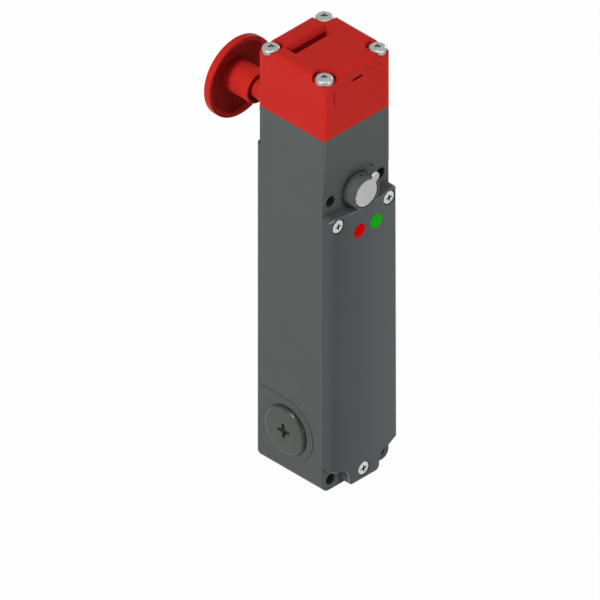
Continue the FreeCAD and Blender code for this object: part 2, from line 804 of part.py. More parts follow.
def make_head():
    """The red head casing."""
    half = size("side") / 2
    made = Piece("head_casing")
    made.add("z", "body_top", "head_top", rect(f"-{HALF}", HALF, f"-{HALF}", HALF))
    made.soften("corner", lambda e: runs_along(e, 2))
    made.soften("head_round", lambda e: near(e.BoundBox.ZMin, size("head_top"))
                and near(e.BoundBox.ZMax, size("head_top")))
    made.cut("z", "head_seat", "head_top", *four("head_screw_at", "head_screw_at", "head_sink"))
    made.cut("z", "body_top", "head_seat", *four(
        "head_screw_at", "head_screw_at", "head_screw_shank + screw_room"))
    made.cut("z", "body_top", HEAD_BAY_TOP, rect("-head_bay_half", "head_bay_half",
                                                  "-head_bay_depth", "head_bay_depth"))
    made.cut("z", "body_top", "cam_height + bearing_top + bearing_room", rect(
        f"-{BEARING_OUT}", BEARING_OUT, "-bearing_half - bearing_room", "bearing_half + bearing_room"))
    rim = "(side / 2 - gasket_rim)"
    made.cut("z", "body_top", "body_top + head_gasket", rect(f"-{rim}", rim, f"-{rim}", rim))
    made.cut("z", HEAD_BAY_TOP, "head_top", rect("-slot_half", "slot_half", SLOT_FRONT, SLOT_BACK))
    made.funnel(rect("-slot_half - funnel_inset", "slot_half + funnel_inset",
                     f"{SLOT_FRONT} - funnel_inset", f"{SLOT_BACK} + funnel_inset"), "head_top",
                rect("-slot_half", "slot_half", SLOT_FRONT, SLOT_BACK), "head_top - funnel_depth")
    made.cut("y", f"-{HALF}", f"blank_thick + blank_gap - {HALF}", rect(
        "-blank_half - blank_gap", "blank_half + blank_gap",
        f"{FRONT_SLOT_LOW} - blank_inset - blank_gap", f"{FRONT_SLOT_HIGH} + blank_inset + blank_gap"))
    made.cut("y", f"-{HALF}", "-head_bay_depth", rect(
        "-slot_half", "slot_half", FRONT_SLOT_LOW, FRONT_SLOT_HIGH))
    return node("head_casing", made)


def make_blank():
    """The blank that closes the head's front slot, with a notch to pry it out."""
    made = Piece("front_slot_blank")
    made.add("y", f"-{HALF}", f"blank_thick - {HALF}", rect(
        "-blank_half", "blank_half", f"{FRONT_SLOT_LOW} - blank_inset", f"{FRONT_SLOT_HIGH} + blank_inset"))
    made.add("y", f"blank_thick - {HALF}", f"blank_thick + blank_hook - {HALF}", rect(
        "-slot_half + running", "slot_half - running",
        f"{FRONT_SLOT_LOW} + running", f"{FRONT_SLOT_HIGH} - running"))
    made.cut("y", f"-{HALF}", f"pry_depth - {HALF}", rect(
        "-pry_half", "pry_half", f"{FRONT_SLOT_HIGH} + blank_inset - pry_height",
        f"{FRONT_SLOT_HIGH} + blank_inset"))
    return node("front_slot_blank", made)


make_head()
make_blank()


# Screws

def cross_recess(width, depth, reach, top):
    """The tool for a cross recess that opens upwards at a height."""
    wide, narrow = (f"-({reach})", reach), (f"-({width}) / 2", f"({width}) / 2")
    deep = (f"({top}) - ({depth})", f"({top}) + past")
    return block(wide, narrow, deep), block(narrow, wide, deep)


def pan_screw(radius, rise, shank, length):
    """A pan-head cross-recess screw on the Z axis, its seat at zero and its shank below."""
    lid = fuse(rod(radius, "z", "0", f"({rise}) * dome_edge", ("0", "0")),
               cone(radius, f"({radius}) * dome_crown", f"({rise}) * dome_edge", rise))
    pair = cross_recess("cross_width", "cross_depth", f"({radius}) * cross_share", rise)
    return cut(fuse(lid, rod(shank, "z", f"-({length})", "0", ("0", "0"))), *pair)


def copies(master, spots, turn):
    """Links to one master, each at its own place."""
    made = []
    for x, y, z in spots:
        link = doc.addObject("App::Link", "Copy")
        link.LinkedObject = master
        made.append(place(link, x, y, z, turn))
    return group(*made)


def make_screws():
    """Cover, head, chassis and board screws, and the earth screw."""
    small = pan_screw("small_head", "small_head_rise", "small_shank", "small_length - past")
    node("cover_screws", copies(small, [(x, SINK_FLOOR, z) for x, z in COVER_SCREWS], "-y"))
    large = pan_screw("head_screw_radius", "head_screw_rise", "head_screw_shank",
                      "head_seat - body_top + head_screw_grip")
    spots = [(f"{a}head_screw_at", f"{b}head_screw_at", "head_seat") for a in SIDES for b in SIDES]
    node("head_screws", copies(large, spots, "z"))
    plate = pan_screw("plate_screw_head", "plate_screw_rise", "plate_screw_shank",
                      "chassis_thick + chassis_screw_depth - screw_room")
    node("chassis_screws", copies(plate, [(x, CHASSIS_FRONT, z) for x, z in CHASSIS_SCREWS], "-y"))


make_screws()


# Cam: two tongue notches, a lock notch and a falling track for the switch rod

TRACK_STEPS = 12
TRACK_REST = (0, 8, 16)  # degrees at three points of the low rest
TRACK_RISE = 20  # degrees from the end of the spiral back to the full radius


def cam_track(radius, drop, swing, low, high):
    """The switch track: full radius, then a spiral that falls by drop over the swing."""
    start = math.radians(-90)
    turn = math.radians(swing)
    spiral = [Vector(low, *[(radius - drop * i / TRACK_STEPS) * f(start + turn * i / TRACK_STEPS)
                            for f in (math.cos, math.sin)]) for i in range(TRACK_STEPS + 1)]
    curve = Part.BSplineCurve()
    curve.interpolate(spiral)
    angle = start + turn
    rest = [Vector(low, (radius - drop) * math.cos(angle + a), (radius - drop) * math.sin(angle + a))
            for a in map(math.radians, TRACK_REST)]
    top = angle + math.radians(TRACK_RISE)
    rise = Vector(low, radius * math.cos(top), radius * math.sin(top))
    over = Vector(low, 0, radius)
    edges = [curve.toShape(), Part.Arc(*rest).toShape(), Part.makeLine(rest[2], rise),
             Part.Arc(rise, over, spiral[0]).toShape()]
    return Part.Face(Part.Wire(edges)).extrude(Vector(high - low, 0, 0))


def make_cam():
    """The cam wheel, turned so that its notches meet the tongue at rest."""
    radius, half = size("cam_radius"), size("cam_half")
    axis = Vector(1, 0, 0)
    wheel = Part.makeCylinder(radius, half, Vector(-half, 0, 0), axis)
    wheel = wheel.fuse(cam_track(radius, size("cam_drop"), size("cam_swing"), 0, half))
    reach = size("head_bay_half") + size("bearing_room") - size("apart")
    wheel = wheel.fuse(Part.makeCylinder(size("cam_hub"), 2 * reach, Vector(-reach, 0, 0), axis))
    depth, width = size("cam_notch_depth"), size("cam_notch")
    mouth = math.degrees(math.acos(size("slot_offset") / radius))
    lock_width = 2 * size("bolt_half") + 2 * size("apart")
    for angle, gap, low, high in ((mouth, width, -half, half), (180 - mouth, width, -half, half),
                                  (size("cam_swing") - 90, lock_width, -half, 0)):
        notch = Part.makeBox(high - low, gap, depth + 1, Vector(low, -gap / 2, radius - depth))
        notch.rotate(Vector(), axis, angle - 90)
        wheel = wheel.cut(notch)
    bore = size("spindle_radius") + size("slip")
    wheel = wheel.cut(Part.makeCylinder(bore, 2 * reach, Vector(-reach, 0, 0), axis))
    made = doc.addObject("Part::Feature", "Cam")
    made.Shape = wheel.removeSplitter()
    node("cam_wheel", place(made, 0, 0, "cam_height"))
    node("cam_spindle", rod("spindle_radius", "x", "-spindle_half", "spindle_half", ("0", "cam_height")))
    plates = []
    for sign in SIDES:
        ends = across(sign, BEARING_IN, f"{BEARING_IN} + bearing_thick")
        plate = block(ends, ("-bearing_half", "bearing_half"), ("body_top", "cam_height + bearing_top"))
        bore = rod("spindle_radius + running", "x", f"{ends[0]} - past", f"{ends[1]} + past",
                   ("0", "cam_height"))
        plates.append(cut(plate, bore))
    node("bearing_plates", group(*plates))


make_cam()


# Lock: a bolt under the cam, pulled down by the solenoid or by the escape wedge

def make_lock():
    """The lock bolt with its foot, shelf and wedge window, the plunger and their link pin."""
    link_height = "(bolt_foot_low + link_rise)"
    floor = f"({BLADE_LOW} - window_room)"
    made = Piece("lock_bolt")
    made.add("z", "bolt_foot_low", BOLT_TIP, rect("bolt_at - bolt_half", "bolt_at + bolt_half",
                                                  "-bolt_half", "bolt_half"))
    made.add("z", "bolt_foot_low", "bolt_foot_top", rect(
        "bolt_at - bolt_foot_half", "bolt_at + bolt_foot_half", "-bolt_shelf", "bolt_foot_half"))
    made.cut("x", "bolt_at - blade_thick / 2 - apart", "bolt_at + blade_thick / 2 + apart", [
        ("-bolt_half", floor), ("-apart", floor),
        ("bolt_half", f"{floor} - (bolt_half + apart) * escape_lift / escape_travel"),
        ("bolt_half", "escape_height + escape_lift + window_room"),
        ("-bolt_half", "escape_height + escape_lift + window_room")])
    made.cut("z", "bolt_foot_low", "bolt_foot_top - neck_room", disc("bolt_at", "0", "plunger_neck + slip"))
    made.cut("y", "-bolt_shelf", "bolt_foot_half", disc("bolt_at", link_height, "link_radius + slip"))
    node("lock_bolt", made)
    stem = rod("plunger_radius", "z", "plunger_low", "bolt_foot_low - slip", ("bolt_at", "0"))
    neck = rod("plunger_neck", "z", "bolt_foot_low - past", "bolt_foot_top - neck_room - screw_room",
               ("bolt_at", "0"))
    hollow = rod("spring_bore", "z", "plunger_low - past", "plunger_low + spring_bore_depth",
                 ("bolt_at", "0"))
    cross = rod("link_radius + slip", "y", "-bolt_shelf", "bolt_shelf", ("bolt_at", link_height))
    node("solenoid_plunger", cut(fuse(stem, neck), hollow, cross))
    node("link_pin", rod("link_radius", "y", "apart - bolt_shelf", "bolt_foot_half - apart",
                         ("bolt_at", link_height)))


def make_spring(label, mean, wire, turns, low, high, at):
    """A wire spring along Z between two heights, its wire drawn with a few flat sides."""
    pitch = (high - low - wire) / turns
    path = Part.makeHelix(pitch, high - low - wire, mean)
    corners = [Vector(mean + wire / 2 * math.cos(a), 0, wire / 2 * math.sin(a))
               for a in (math.tau * i / WIRE_SIDES for i in range(WIRE_SIDES))]
    ring = Part.makePolygon(corners + corners[:1])
    made = doc.addObject("Part::Feature", "Spring")
    made.Shape = Part.Wire(path.Edges).makePipeShell([ring], True, True)
    made.Placement = Placement(Vector(at[0], at[1], low + wire / 2), Rotation())
    return node(label, made)


def make_solenoid():
    """The yoke frame with its chassis tabs, the bobbin, the coil and the fixed core."""
    left, right = "bolt_at - yoke_half", "bolt_at + yoke_half"
    hole = rod("plunger_radius + apart", "z", "yoke_high - yoke_thick - past", "yoke_high + past",
               ("bolt_at", "0"))
    ring = cut(block((left, right), ("-yoke_depth", "yoke_depth"), ("yoke_low", "yoke_high")),
               block((f"{left} + yoke_thick", f"{right} - yoke_thick"),
                     ("-yoke_depth - past", "yoke_depth + past"),
                     ("yoke_low + yoke_thick", "yoke_high - yoke_thick")), hole)
    tabs = [block(ends, ("yoke_depth - past", CHASSIS_FRONT),
                  (f"yoke_low + {low}", f"yoke_low + {low} + yoke_tab"))
            for ends in ((left, f"{left} + yoke_thick"), (f"{right} - yoke_thick", right))
            for low in ("yoke_tab_low", "yoke_tab_high")]
    node("solenoid_yoke", fuse(ring, *tabs))
    floor, roof = "(yoke_low + yoke_thick)", "(yoke_high - yoke_thick)"
    inner = "(plunger_radius + apart)"
    tube = rod(f"{inner} + bobbin_skin", "z", f"{floor} + slip", f"{roof} - slip", ("bolt_at", "0"))
    rims = [rod("bobbin_flange", "z", low, high, ("bolt_at", "0")) for low, high in (
        (f"{floor} + slip", f"{floor} + bobbin_rim"), (f"{roof} - bobbin_rim", f"{roof} - slip"))]
    node("coil_bobbin", cut(fuse(tube, *rims), rod(inner, "z", floor, roof, ("bolt_at", "0"))))
    winding = rod("coil_radius", "z", f"{floor} + bobbin_rim + slip", f"{roof} - bobbin_rim - slip",
                  ("bolt_at", "0"))
    bore = rod(f"{inner} + bobbin_skin + slip", "z", floor, roof, ("bolt_at", "0"))
    node("solenoid_coil", cut(winding, bore))
    peg = rod("lock_spring_mean - lock_spring_wire", "z", "core_high - past", "core_high + core_peg",
              ("bolt_at", "0"))
    node("solenoid_core", fuse(rod("plunger_radius", "z", floor, "core_high", ("bolt_at", "0")), peg))
    make_spring("lock_spring", size("lock_spring_mean"), size("lock_spring_wire"), size("lock_spring_turns"),
                size("core_high + spring_seat"), size("plunger_low + spring_bore_depth - spring_seat"),
                (size("bolt_at"), 0))


make_lock()
make_solenoid()


# Switch rod: a pin under the cam, an arm to the back and a strip down to the contact bridges

def bridge_top(row):
    """The top of a bridge, open by the cam's drop below its fixed contacts."""
    return f"({row} - cam_drop - apart)"


def make_rod():
    """The switch rod with its carrier, and the bridges that ride on it."""
    pin = rod("rod_radius", "z", "rod_arm_low", f"{ROD_TOP} - rod_tip", ("rod_at", "0"))
    tip = rod("rod_tip", "z", f"{ROD_TOP} - rod_tip - past", f"{ROD_TOP} - rod_tip", ("rod_at", "0"))
    ball = doc.addObject("Part::Sphere", "Tip")
    bind(ball, Radius="rod_tip")
    place(ball, "rod_at", 0, f"{ROD_TOP} - rod_tip")
    strip_back = "(strip_front + strip_thick)"
    arm = block(("rod_at - rod_radius", "rod_at + rod_radius"), ("0", strip_back),
                ("rod_arm_low", "rod_arm_high"))
    ear = block(("rod_at", "rod_spring_at + rod_spring_mean + rod_spring_wire"),
                ("-rod_radius", "rod_radius"), ("rod_arm_low", "rod_arm_high"))
    strip = block(("-strip_left", "strip_right"), ("strip_front", strip_back), ("strip_low", "rod_arm_high"))
    carrier = block(("-carrier_half", "carrier_half"),
                    ("bridge_front - carrier_wall", "strip_front + carrier_root"),
                    ("strip_low + carrier_rise", f"{bridge_top(ROWS[-1])} + carrier_rise"))
    slots = [block(("-bridge_half", "bridge_half"), ("bridge_front - slip", "bridge_back + slip"),
                   (f"{bridge_top(row)} - leaf - slip", f"{bridge_top(row)} + slip")) for row in ROWS]
    node("switch_rod", cut(fuse(pin, tip, ball, arm, ear, strip, carrier), *slots))
    node("contact_bridges", group(*[
        block(("-bridge_half", "bridge_half"), ("bridge_front", "bridge_back"),
              (f"{bridge_top(row)} - leaf", bridge_top(row))) for row in ROWS]))
    make_spring("rod_spring", size("rod_spring_mean"), size("rod_spring_wire"), size("rod_spring_turns"),
                size("upper_low - rod_spring_well + spring_seat"), size("rod_arm_low - spring_seat"),
                (size("rod_spring_at"), 0))


make_rod()


# Chassis plate, rod guide, contact block and terminals

def make_block():
    """The contact block with its channel and terminal pockets, and the metal parts it holds."""
    body = block(("-block_half", "block_half"), ("-block_front", "block_back"), ("block_low", "block_high"))
    rails = [block(ends, ("block_back - past", CHASSIS_FRONT), ("block_low", "block_high")) for ends in (
        ("-block_half", "block_rail - block_half"), ("block_half - block_rail", "block_half"))]
    channel = block(("-channel_half", "channel_half"), ("channel_front", "block_back + past"),
                    ("block_low + channel_floor", "block_high - channel_roof"))
    pocket_back = "(clamp_deep + 2 * slip - block_front)"
    pockets, slots, clamps, fingers, screws = [], [], [], [], []
    for row in ROWS:
        low, high = f"{row} - clamp_sink", f"{row} - clamp_sink + clamp_tall"
        middle = f"{row} + clamp_tall / 2 - clamp_sink"
        for sign in SIDES:
            screw_at = f"{sign}(clamp_inner + clamp_outer) / 2"
            pockets.append(block(across(sign, "clamp_inner - slip", "clamp_outer + slip"),
                                 ("-block_front - past", pocket_back), (f"{low} - slip", f"{high} + slip")))
            clamp = block(across(sign, "clamp_inner", "clamp_outer"),
                          ("-block_front + slip", "clamp_deep - block_front"), (low, high))
            clamps.append(cut(clamp, rod("plate_screw_shank + slip", "y", "-block_front - past", "clamp_deep",
                                         (screw_at, middle))))
            fingers.append(block(across(sign, "finger_inner", "finger_outer"),
                                 ("clamp_deep - block_front + slip", "finger_back"), (row, f"{row} + leaf")))
            slots.append(block(across(sign, "finger_inner - slip", "finger_outer + slip"),
                               ("0", "finger_back"), (f"{row} - slip", f"{row} + leaf + slip")))
            screws.append((screw_at, "-block_front", middle))
    node("contact_block", cut(fuse(body, *rails), channel, *pockets, *slots))
    node("terminal_clamps", group(*clamps))
    node("fixed_contacts", group(*fingers))
    node("terminal_screws", copies(slot_screw(), screws, "-y"))


def slot_screw():
    """A small cheese-head screw with a straight slot, its seat at zero."""
    head = rod("plate_screw_head", "z", "0", "plate_screw_rise", ("0", "0"))
    shank = rod("plate_screw_shank", "z", "screw_short - clamp_deep", "0", ("0", "0"))
    slot = block(("-plate_screw_head - past", "plate_screw_head + past"),
                 ("-screw_slot / 2", "screw_slot / 2"),
                 ("plate_screw_rise / 2", "plate_screw_rise + past"))
    return cut(fuse(head, shank), slot)


def make_chassis():
    """The chassis plate on the back wall, the bridge that guides the strip and the earth terminal."""
    plate = block(("-chassis_half", "chassis_half"), (CHASSIS_FRONT, BAY_BACK),
                  ("chassis_low", "chassis_high"))
    holes = [rod("plate_screw_shank + slip", "y", f"{CHASSIS_FRONT} - past", f"{BAY_BACK} + past", spot)
             for spot in CHASSIS_SCREWS]
    node("chassis_plate", cut(plate, *holes))
    left, right = "(-strip_left - apart)", "(strip_right + apart)"
    front, back = "(strip_front - apart)", "(strip_front + strip_thick + apart)"
    outer = block((f"{left} - guide_wall", f"{right} + guide_wall"),
                  (f"{front} - guide_front", CHASSIS_FRONT), ("guide_height", "guide_height + guide_tall"))
    inner = block((left, right), (front, back), ("guide_height - past", "guide_height + guide_tall + past"))
    node("rod_guide", cut(outer, inner))
    strap = block(("-earth_half", "earth_half"), (f"{BAY_BACK} - earth_thick", BAY_BACK),
                  ("earth_height - earth_half", "earth_height + earth_half"))
    hole = rod("small_shank + slip", "y", f"{BAY_BACK} - earth_thick - past", f"{BAY_BACK} + past",
               ("0", "earth_height"))
    node("earth_terminal", cut(strap, hole))
    screw = pan_screw("small_head", "small_head_rise", "small_shank", "earth_screw_length")
    node("earth_screw", copies(screw, [("0", f"{BAY_BACK} - earth_thick", "earth_height")], "-y"))


make_block()
make_chassis()


# Indicator lamps: a board on two posts of the cover, its emitters behind two lenses

def make_lamps():
    """The lenses, the board, its emitters and its screws."""
    skin = "cover_skin - cover_face"
    for label, across_at in LAMPS.items():
        spot = (across_at, "lamp_height")
        body = rod("lens_radius", "y", "-cover_face - lens_rise", f"{skin} + lens_flange_thick", spot)
        flange = rod("lens_flange", "y", f"{skin} + slip", f"{skin} + lens_flange_thick", spot)
        node(label, fuse(body, flange))
    board = block(("-board_half", "board_half"), ("-board_face", BOARD_BACK), ("board_low", "board_high"))
    holes = [rod("board_screw + slip", "y", "-board_face - past", f"{BOARD_BACK} + past",
                 (f"{sign}board_screw_at", "board_screw_height")) for sign in SIDES]
    node("led_board", cut(board, *holes))
    node("led_emitters", group(*[
        rod("emitter", "y", f"{skin} + emitter_gap", "-board_face", (across_at, "lamp_height"))
        for across_at in LAMPS.values()]))
    head = rod("board_screw_head", "y", BOARD_BACK, f"{BOARD_BACK} + board_screw_rise", ("0", "0"))
    shank = rod("board_screw", "y", "-board_face - board_screw_length", BOARD_BACK, ("0", "0"))
    node("led_board_screws", copies(fuse(head, shank), [
        (f"{sign}board_screw_at", "0", "board_screw_height") for sign in SIDES], "z"))


make_lamps()


# Cable entry plugs

def make_plug(label, turn):
    """A screwed plug with a cross recess; built on Z and turned to its side of the housing."""
    head = fuse(rod("plug_radius", "z", "0", "plug_rise - plug_round", ("0", "0")),
                cone("plug_radius", "plug_radius - plug_round", "plug_rise - plug_round", "plug_rise"))
    shank = rod(PLUG_SHANK, "z", "-plug_shank", "0", ("0", "0"))
    bore = rod("plug_bore", "z", "-plug_shank - past", "-plug_floor", ("0", "0"))
    lip = cut(rod("seal_outer + slip", "z", "0", "seal_depth", ("0", "0")),
              rod("seal_inner - slip", "z", "-past", "seal_depth + past", ("0", "0")))
    body = cut(fuse(head, shank), bore, lip,
               *cross_recess("plug_cross_width", "plug_cross_depth", "plug_cross / 2", "plug_rise"))
    sign = "-" if turn == "-x" else ""
    return node(label, place(body, f"{sign}{PAD_FACE}", "side_entry_depth", "side_entry_height", turn))


def make_plugs():
    """Both side plugs and the seals under their heads."""
    make_plug("left_entry_plug", "-x")
    make_plug("right_entry_plug", "x")
    spot = ("side_entry_depth", "side_entry_height")
    seals = []
    for sign in SIDES:
        low, high = across(sign, PAD_FACE, f"{PAD_FACE} + seal_depth - slip")
        seals.append(cut(rod("seal_outer", "x", low, high, spot),
                         rod("seal_inner", "x", f"{low} - past", f"{high} + past", spot)))
    node("entry_plug_seals", group(*seals))


make_plugs()


# Auxiliary release: a slotted spindle in the ring, its crank inside and a cap with a pull lobe

def make_release():
    """The release spindle, its seal, circlip and crank, and the cap over it."""
    spot = ("0", "release_height")
    floor, inside = "-ring_floor", "(wall - side / 2)"
    head = rod("release_head", "y", f"{floor} - apart - release_head_rise", f"{floor} - apart", spot)
    shaft = rod("release_shaft", "y", f"{floor} - apart - past", "-crank_back - crank_web - slip", spot)
    slot = block(("-release_head", "release_head"),
                 (f"{floor} - apart - release_head_rise - past",
                  f"{floor} - apart - release_head_rise + release_slot_depth"),
                 ("release_height - release_slot / 2", "release_height + release_slot / 2"))

    def neck(low, high, radius):
        """A ring-shaped tool that cuts a groove in the shaft."""
        ring = rod("release_shaft + past", "y", low, high, spot)
        return cut(ring, rod(radius, "y", f"{low} - past", f"{high} + past", spot))

    seal = (f"{floor} + release_seal_at", f"{floor} + release_seal_at + release_seal_thick")
    clip = (f"{inside} + apart", f"{inside} + apart + circlip_thick")
    seal_root, clip_root = "release_shaft - release_seal_deep", "release_shaft - circlip_deep"
    node("release_spindle", cut(fuse(head, shaft), slot, neck(*seal, seal_root), neck(*clip, clip_root)))
    node("release_seal", cut(rod("release_shaft", "y", f"{seal[0]} + slip", f"{seal[1]} - slip", spot),
                             rod(f"{seal_root} + slip", "y", *seal, spot)))
    ring = rod("release_shaft + circlip_rim", "y", f"{clip[0]} + slip", f"{clip[1]} - slip", spot)
    node("release_circlip", cut(ring, rod(f"{clip_root} + slip", "y", *clip, spot)))
    wheel = rod("crank_radius", "y", "-crank_front", "-crank_back", spot)
    bore = rod("release_shaft + slip", "y", "-crank_front - past", "-crank_back - crank_web", spot)
    pin = rod("crank_pin", "y", "-crank_back - crank_web / 2", "-crank_pin_end",
              ("0", "release_height + crank_offset"))
    node("release_crank", fuse(cut(wheel, bore), pin))
    cap_face = f"-{CAP_FACE}"
    lobe_at = ("lobe_reach * cos(lobe_angle)", "release_height + lobe_reach * sin(lobe_angle)")
    disc_part = rod("cap_radius", "y", cap_face, "-ring_face + cap_depth", spot)
    lobe = rod("lobe_radius", "y", cap_face, f"{cap_face} + cap_thick", lobe_at)
    web = doc.addObject("Part::Box", "Web")
    bind(web, Length="lobe_reach", Width="cap_thick", Height="2 * lobe_neck")
    place(web, "lobe_neck * cos(lobe_angle)", cap_face, "release_height - lobe_neck * sin(lobe_angle)")
    web.Placement.Rotation = Rotation(Vector(0, 1, 0), -size("lobe_angle"))
    node("release_cap", fuse(disc_part, lobe, web))


make_release()


# Escape button: a mushroom on a stem through the back, with a wedge that draws the bolt down

def make_escape():
    """The bush, its seal, the stem, the mushroom and the wedge."""
    spot = ("0", "escape_height")
    seal_high = "(bush_end - escape_seal_land)"
    seal_low = f"({seal_high} - escape_seal_thick)"
    bush = fuse(rod("bush_radius", "y", HALF, "bush_end", spot),
                rod("bush_neck", "y", f"{HALF} - wall", f"{HALF} + past", spot))
    bore = rod("stem_radius + running", "y", f"{HALF} - wall - past", "bush_end + past", spot)
    groove = rod("stem_radius + escape_seal_deep", "y", seal_low, seal_high, spot)
    node("escape_bush", cut(bush, bore, groove))
    ring = rod("stem_radius + escape_seal_deep - slip", "y",
               f"{seal_low} + slip", f"{seal_high} - slip", spot)
    node("escape_seal", cut(ring, rod("stem_radius + running", "y", f"{seal_low} - past", "bush_end", spot)))
    node("escape_stem", rod("stem_radius", "y", "stem_inner", "stem_outer - slip", spot))
    axis = "escape_height"
    profile = [("button_crown", "0"), ("button_crown - button_edge", "hub_bore"),
               ("button_shoulder", "button_radius - hub_blend - button_lip"),
               ("button_rim_high", "button_radius - button_edge"),
               ("button_rim_high - button_edge_deep", "button_radius"),
               ("button_rim_low + button_edge_low", "button_radius"),
               ("button_rim_low", "button_radius - button_edge_low"),
               ("button_rim_low", "button_radius - button_lip"),
               ("button_floor", "button_radius - button_lip - button_draft"), ("button_floor", "hub_flare"),
               ("button_floor - hub_blend", "hub_radius"), ("hub_end", "hub_radius"), ("hub_end", "hub_bore"),
               ("hub_socket", "hub_bore"), ("hub_socket", "stem_radius + slip"),
               ("stem_outer", "stem_radius + slip"), ("stem_outer", "0")]
    corners = [(along, f"{axis} + {out}") for along, out in profile]
    made = Piece("escape_button")
    made.turned("Revolution", corners, axis)
    node("escape_button", made)
    root = "stem_inner - collar_thick / 2"
    deep = f"{BLADE_LOW} - escape_lift"
    profile = [("-blade_lead", BLADE_LOW), ("0", BLADE_LOW), ("escape_travel", deep),
               (root, deep), (root, "escape_height"), ("-blade_lead", "escape_height")]
    wedge = Piece("escape_wedge")
    wedge.add("x", "bolt_at - blade_thick / 2", "bolt_at + blade_thick / 2", profile)
    wedge.add("y", "stem_inner - collar_thick", "stem_inner - slip",
              disc("0", "escape_height", "collar_radius"))
    node("escape_wedge", wedge)


make_escape()


# Check every object and every sub-part, then write one file for each

doc.recompute()
for thing in doc.Objects:
    if "Invalid" in thing.State or "Error" in thing.State:
        raise RuntimeError("failed: %s (%s)" % (thing.Label, thing.Name))
os.makedirs("parts", exist_ok=True)
for thing in nodes:
    shape = thing.Shape
    if shape.isNull() or not shape.isValid() or not shape.Solids:
        raise RuntimeError("bad shape: " + thing.Label)
    shape.exportStep("parts/%s.step" % thing.Label)
print(len(nodes), "sub-parts written")
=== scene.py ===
"""Looks for the tongue interlock switch: finishes, detailed outer pieces, studio and camera.

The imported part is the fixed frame. Screws, plugs, lamps, the release cap and the escape button are
modelled again here with fine rounds, each in the place of its own node. The mouldings are merged
copies of their solids with softened edges. The inner pieces keep their solids and get their finish.
Lengths in the classes are millimetres in the part's frame and become metres in the meshes.
"""

from __future__ import annotations

import json
import logging
import math
from dataclasses import dataclass, field
from enum import Enum
from typing import Callable, Sequence

import bmesh
import bpy
from mathutils import Matrix, Vector

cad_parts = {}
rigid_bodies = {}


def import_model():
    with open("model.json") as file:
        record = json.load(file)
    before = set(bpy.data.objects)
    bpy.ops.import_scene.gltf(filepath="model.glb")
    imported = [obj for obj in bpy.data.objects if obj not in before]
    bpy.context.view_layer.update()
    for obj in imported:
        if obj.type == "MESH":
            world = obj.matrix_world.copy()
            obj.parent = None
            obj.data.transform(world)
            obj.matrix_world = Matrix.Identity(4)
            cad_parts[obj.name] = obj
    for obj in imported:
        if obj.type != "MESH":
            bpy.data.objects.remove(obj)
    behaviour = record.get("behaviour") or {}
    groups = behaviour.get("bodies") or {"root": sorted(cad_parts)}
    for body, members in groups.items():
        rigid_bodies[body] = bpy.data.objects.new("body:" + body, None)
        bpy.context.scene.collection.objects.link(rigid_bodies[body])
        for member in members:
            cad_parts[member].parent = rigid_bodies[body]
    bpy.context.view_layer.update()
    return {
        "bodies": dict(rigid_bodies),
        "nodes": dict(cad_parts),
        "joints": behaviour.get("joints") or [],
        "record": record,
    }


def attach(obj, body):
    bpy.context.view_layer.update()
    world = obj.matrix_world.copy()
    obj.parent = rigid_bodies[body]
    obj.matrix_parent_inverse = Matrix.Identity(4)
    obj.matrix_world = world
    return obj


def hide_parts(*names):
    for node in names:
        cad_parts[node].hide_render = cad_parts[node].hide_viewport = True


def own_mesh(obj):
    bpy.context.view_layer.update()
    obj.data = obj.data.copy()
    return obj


Colour = tuple[float, float, float]
Point = tuple[float, float, float]
Pair = tuple[float, float]
Mesh = bmesh.types.BMesh

LOG = logging.getLogger("interlock_switch")
FRAME_BODY = "switch_frame"
MM = 0.001
SAME_POINT = 1e-6
SHARP = math.radians(32)
FLAT = math.radians(0.5)
ROUND_LOOKS = (-0.95, -0.15)

# Places that several pieces share, in millimetres: across and up for the cover's openings,
# heights, and distances in front of the middle
SEATS_AT: tuple[Pair, ...] = ((-15.3, 139.3), (15.3, 139.3), (0.0, 5.9))
LAMPS_AT: tuple[Pair, ...] = ((-2.7, 131.2), (7.4, 131.2))
HEAD_TOP = 211.5
RELEASE_HEIGHT = 150.0
COVER_FACE = 24.0
SEAT_FLOOR = 22.5
RING_FACE = 25.5


def srgb(code: str) -> Colour:
    """Turn a screen colour into linear light.

    Args:
        code: six hexadecimal digits.

    Returns:
        Linear red, green and blue.
    """
    parts = [int(code[i:i + 2], 16) / 255 for i in (0, 2, 4)]
    return tuple(p / 12.92 if p <= 0.04045 else ((p + 0.055) / 1.055) ** 2.4 for p in parts)


def toned(colour: Colour, share: float) -> Colour:
    """A colour made darker or lighter by a share."""
    return tuple(part * share for part in colour)


# Finishes


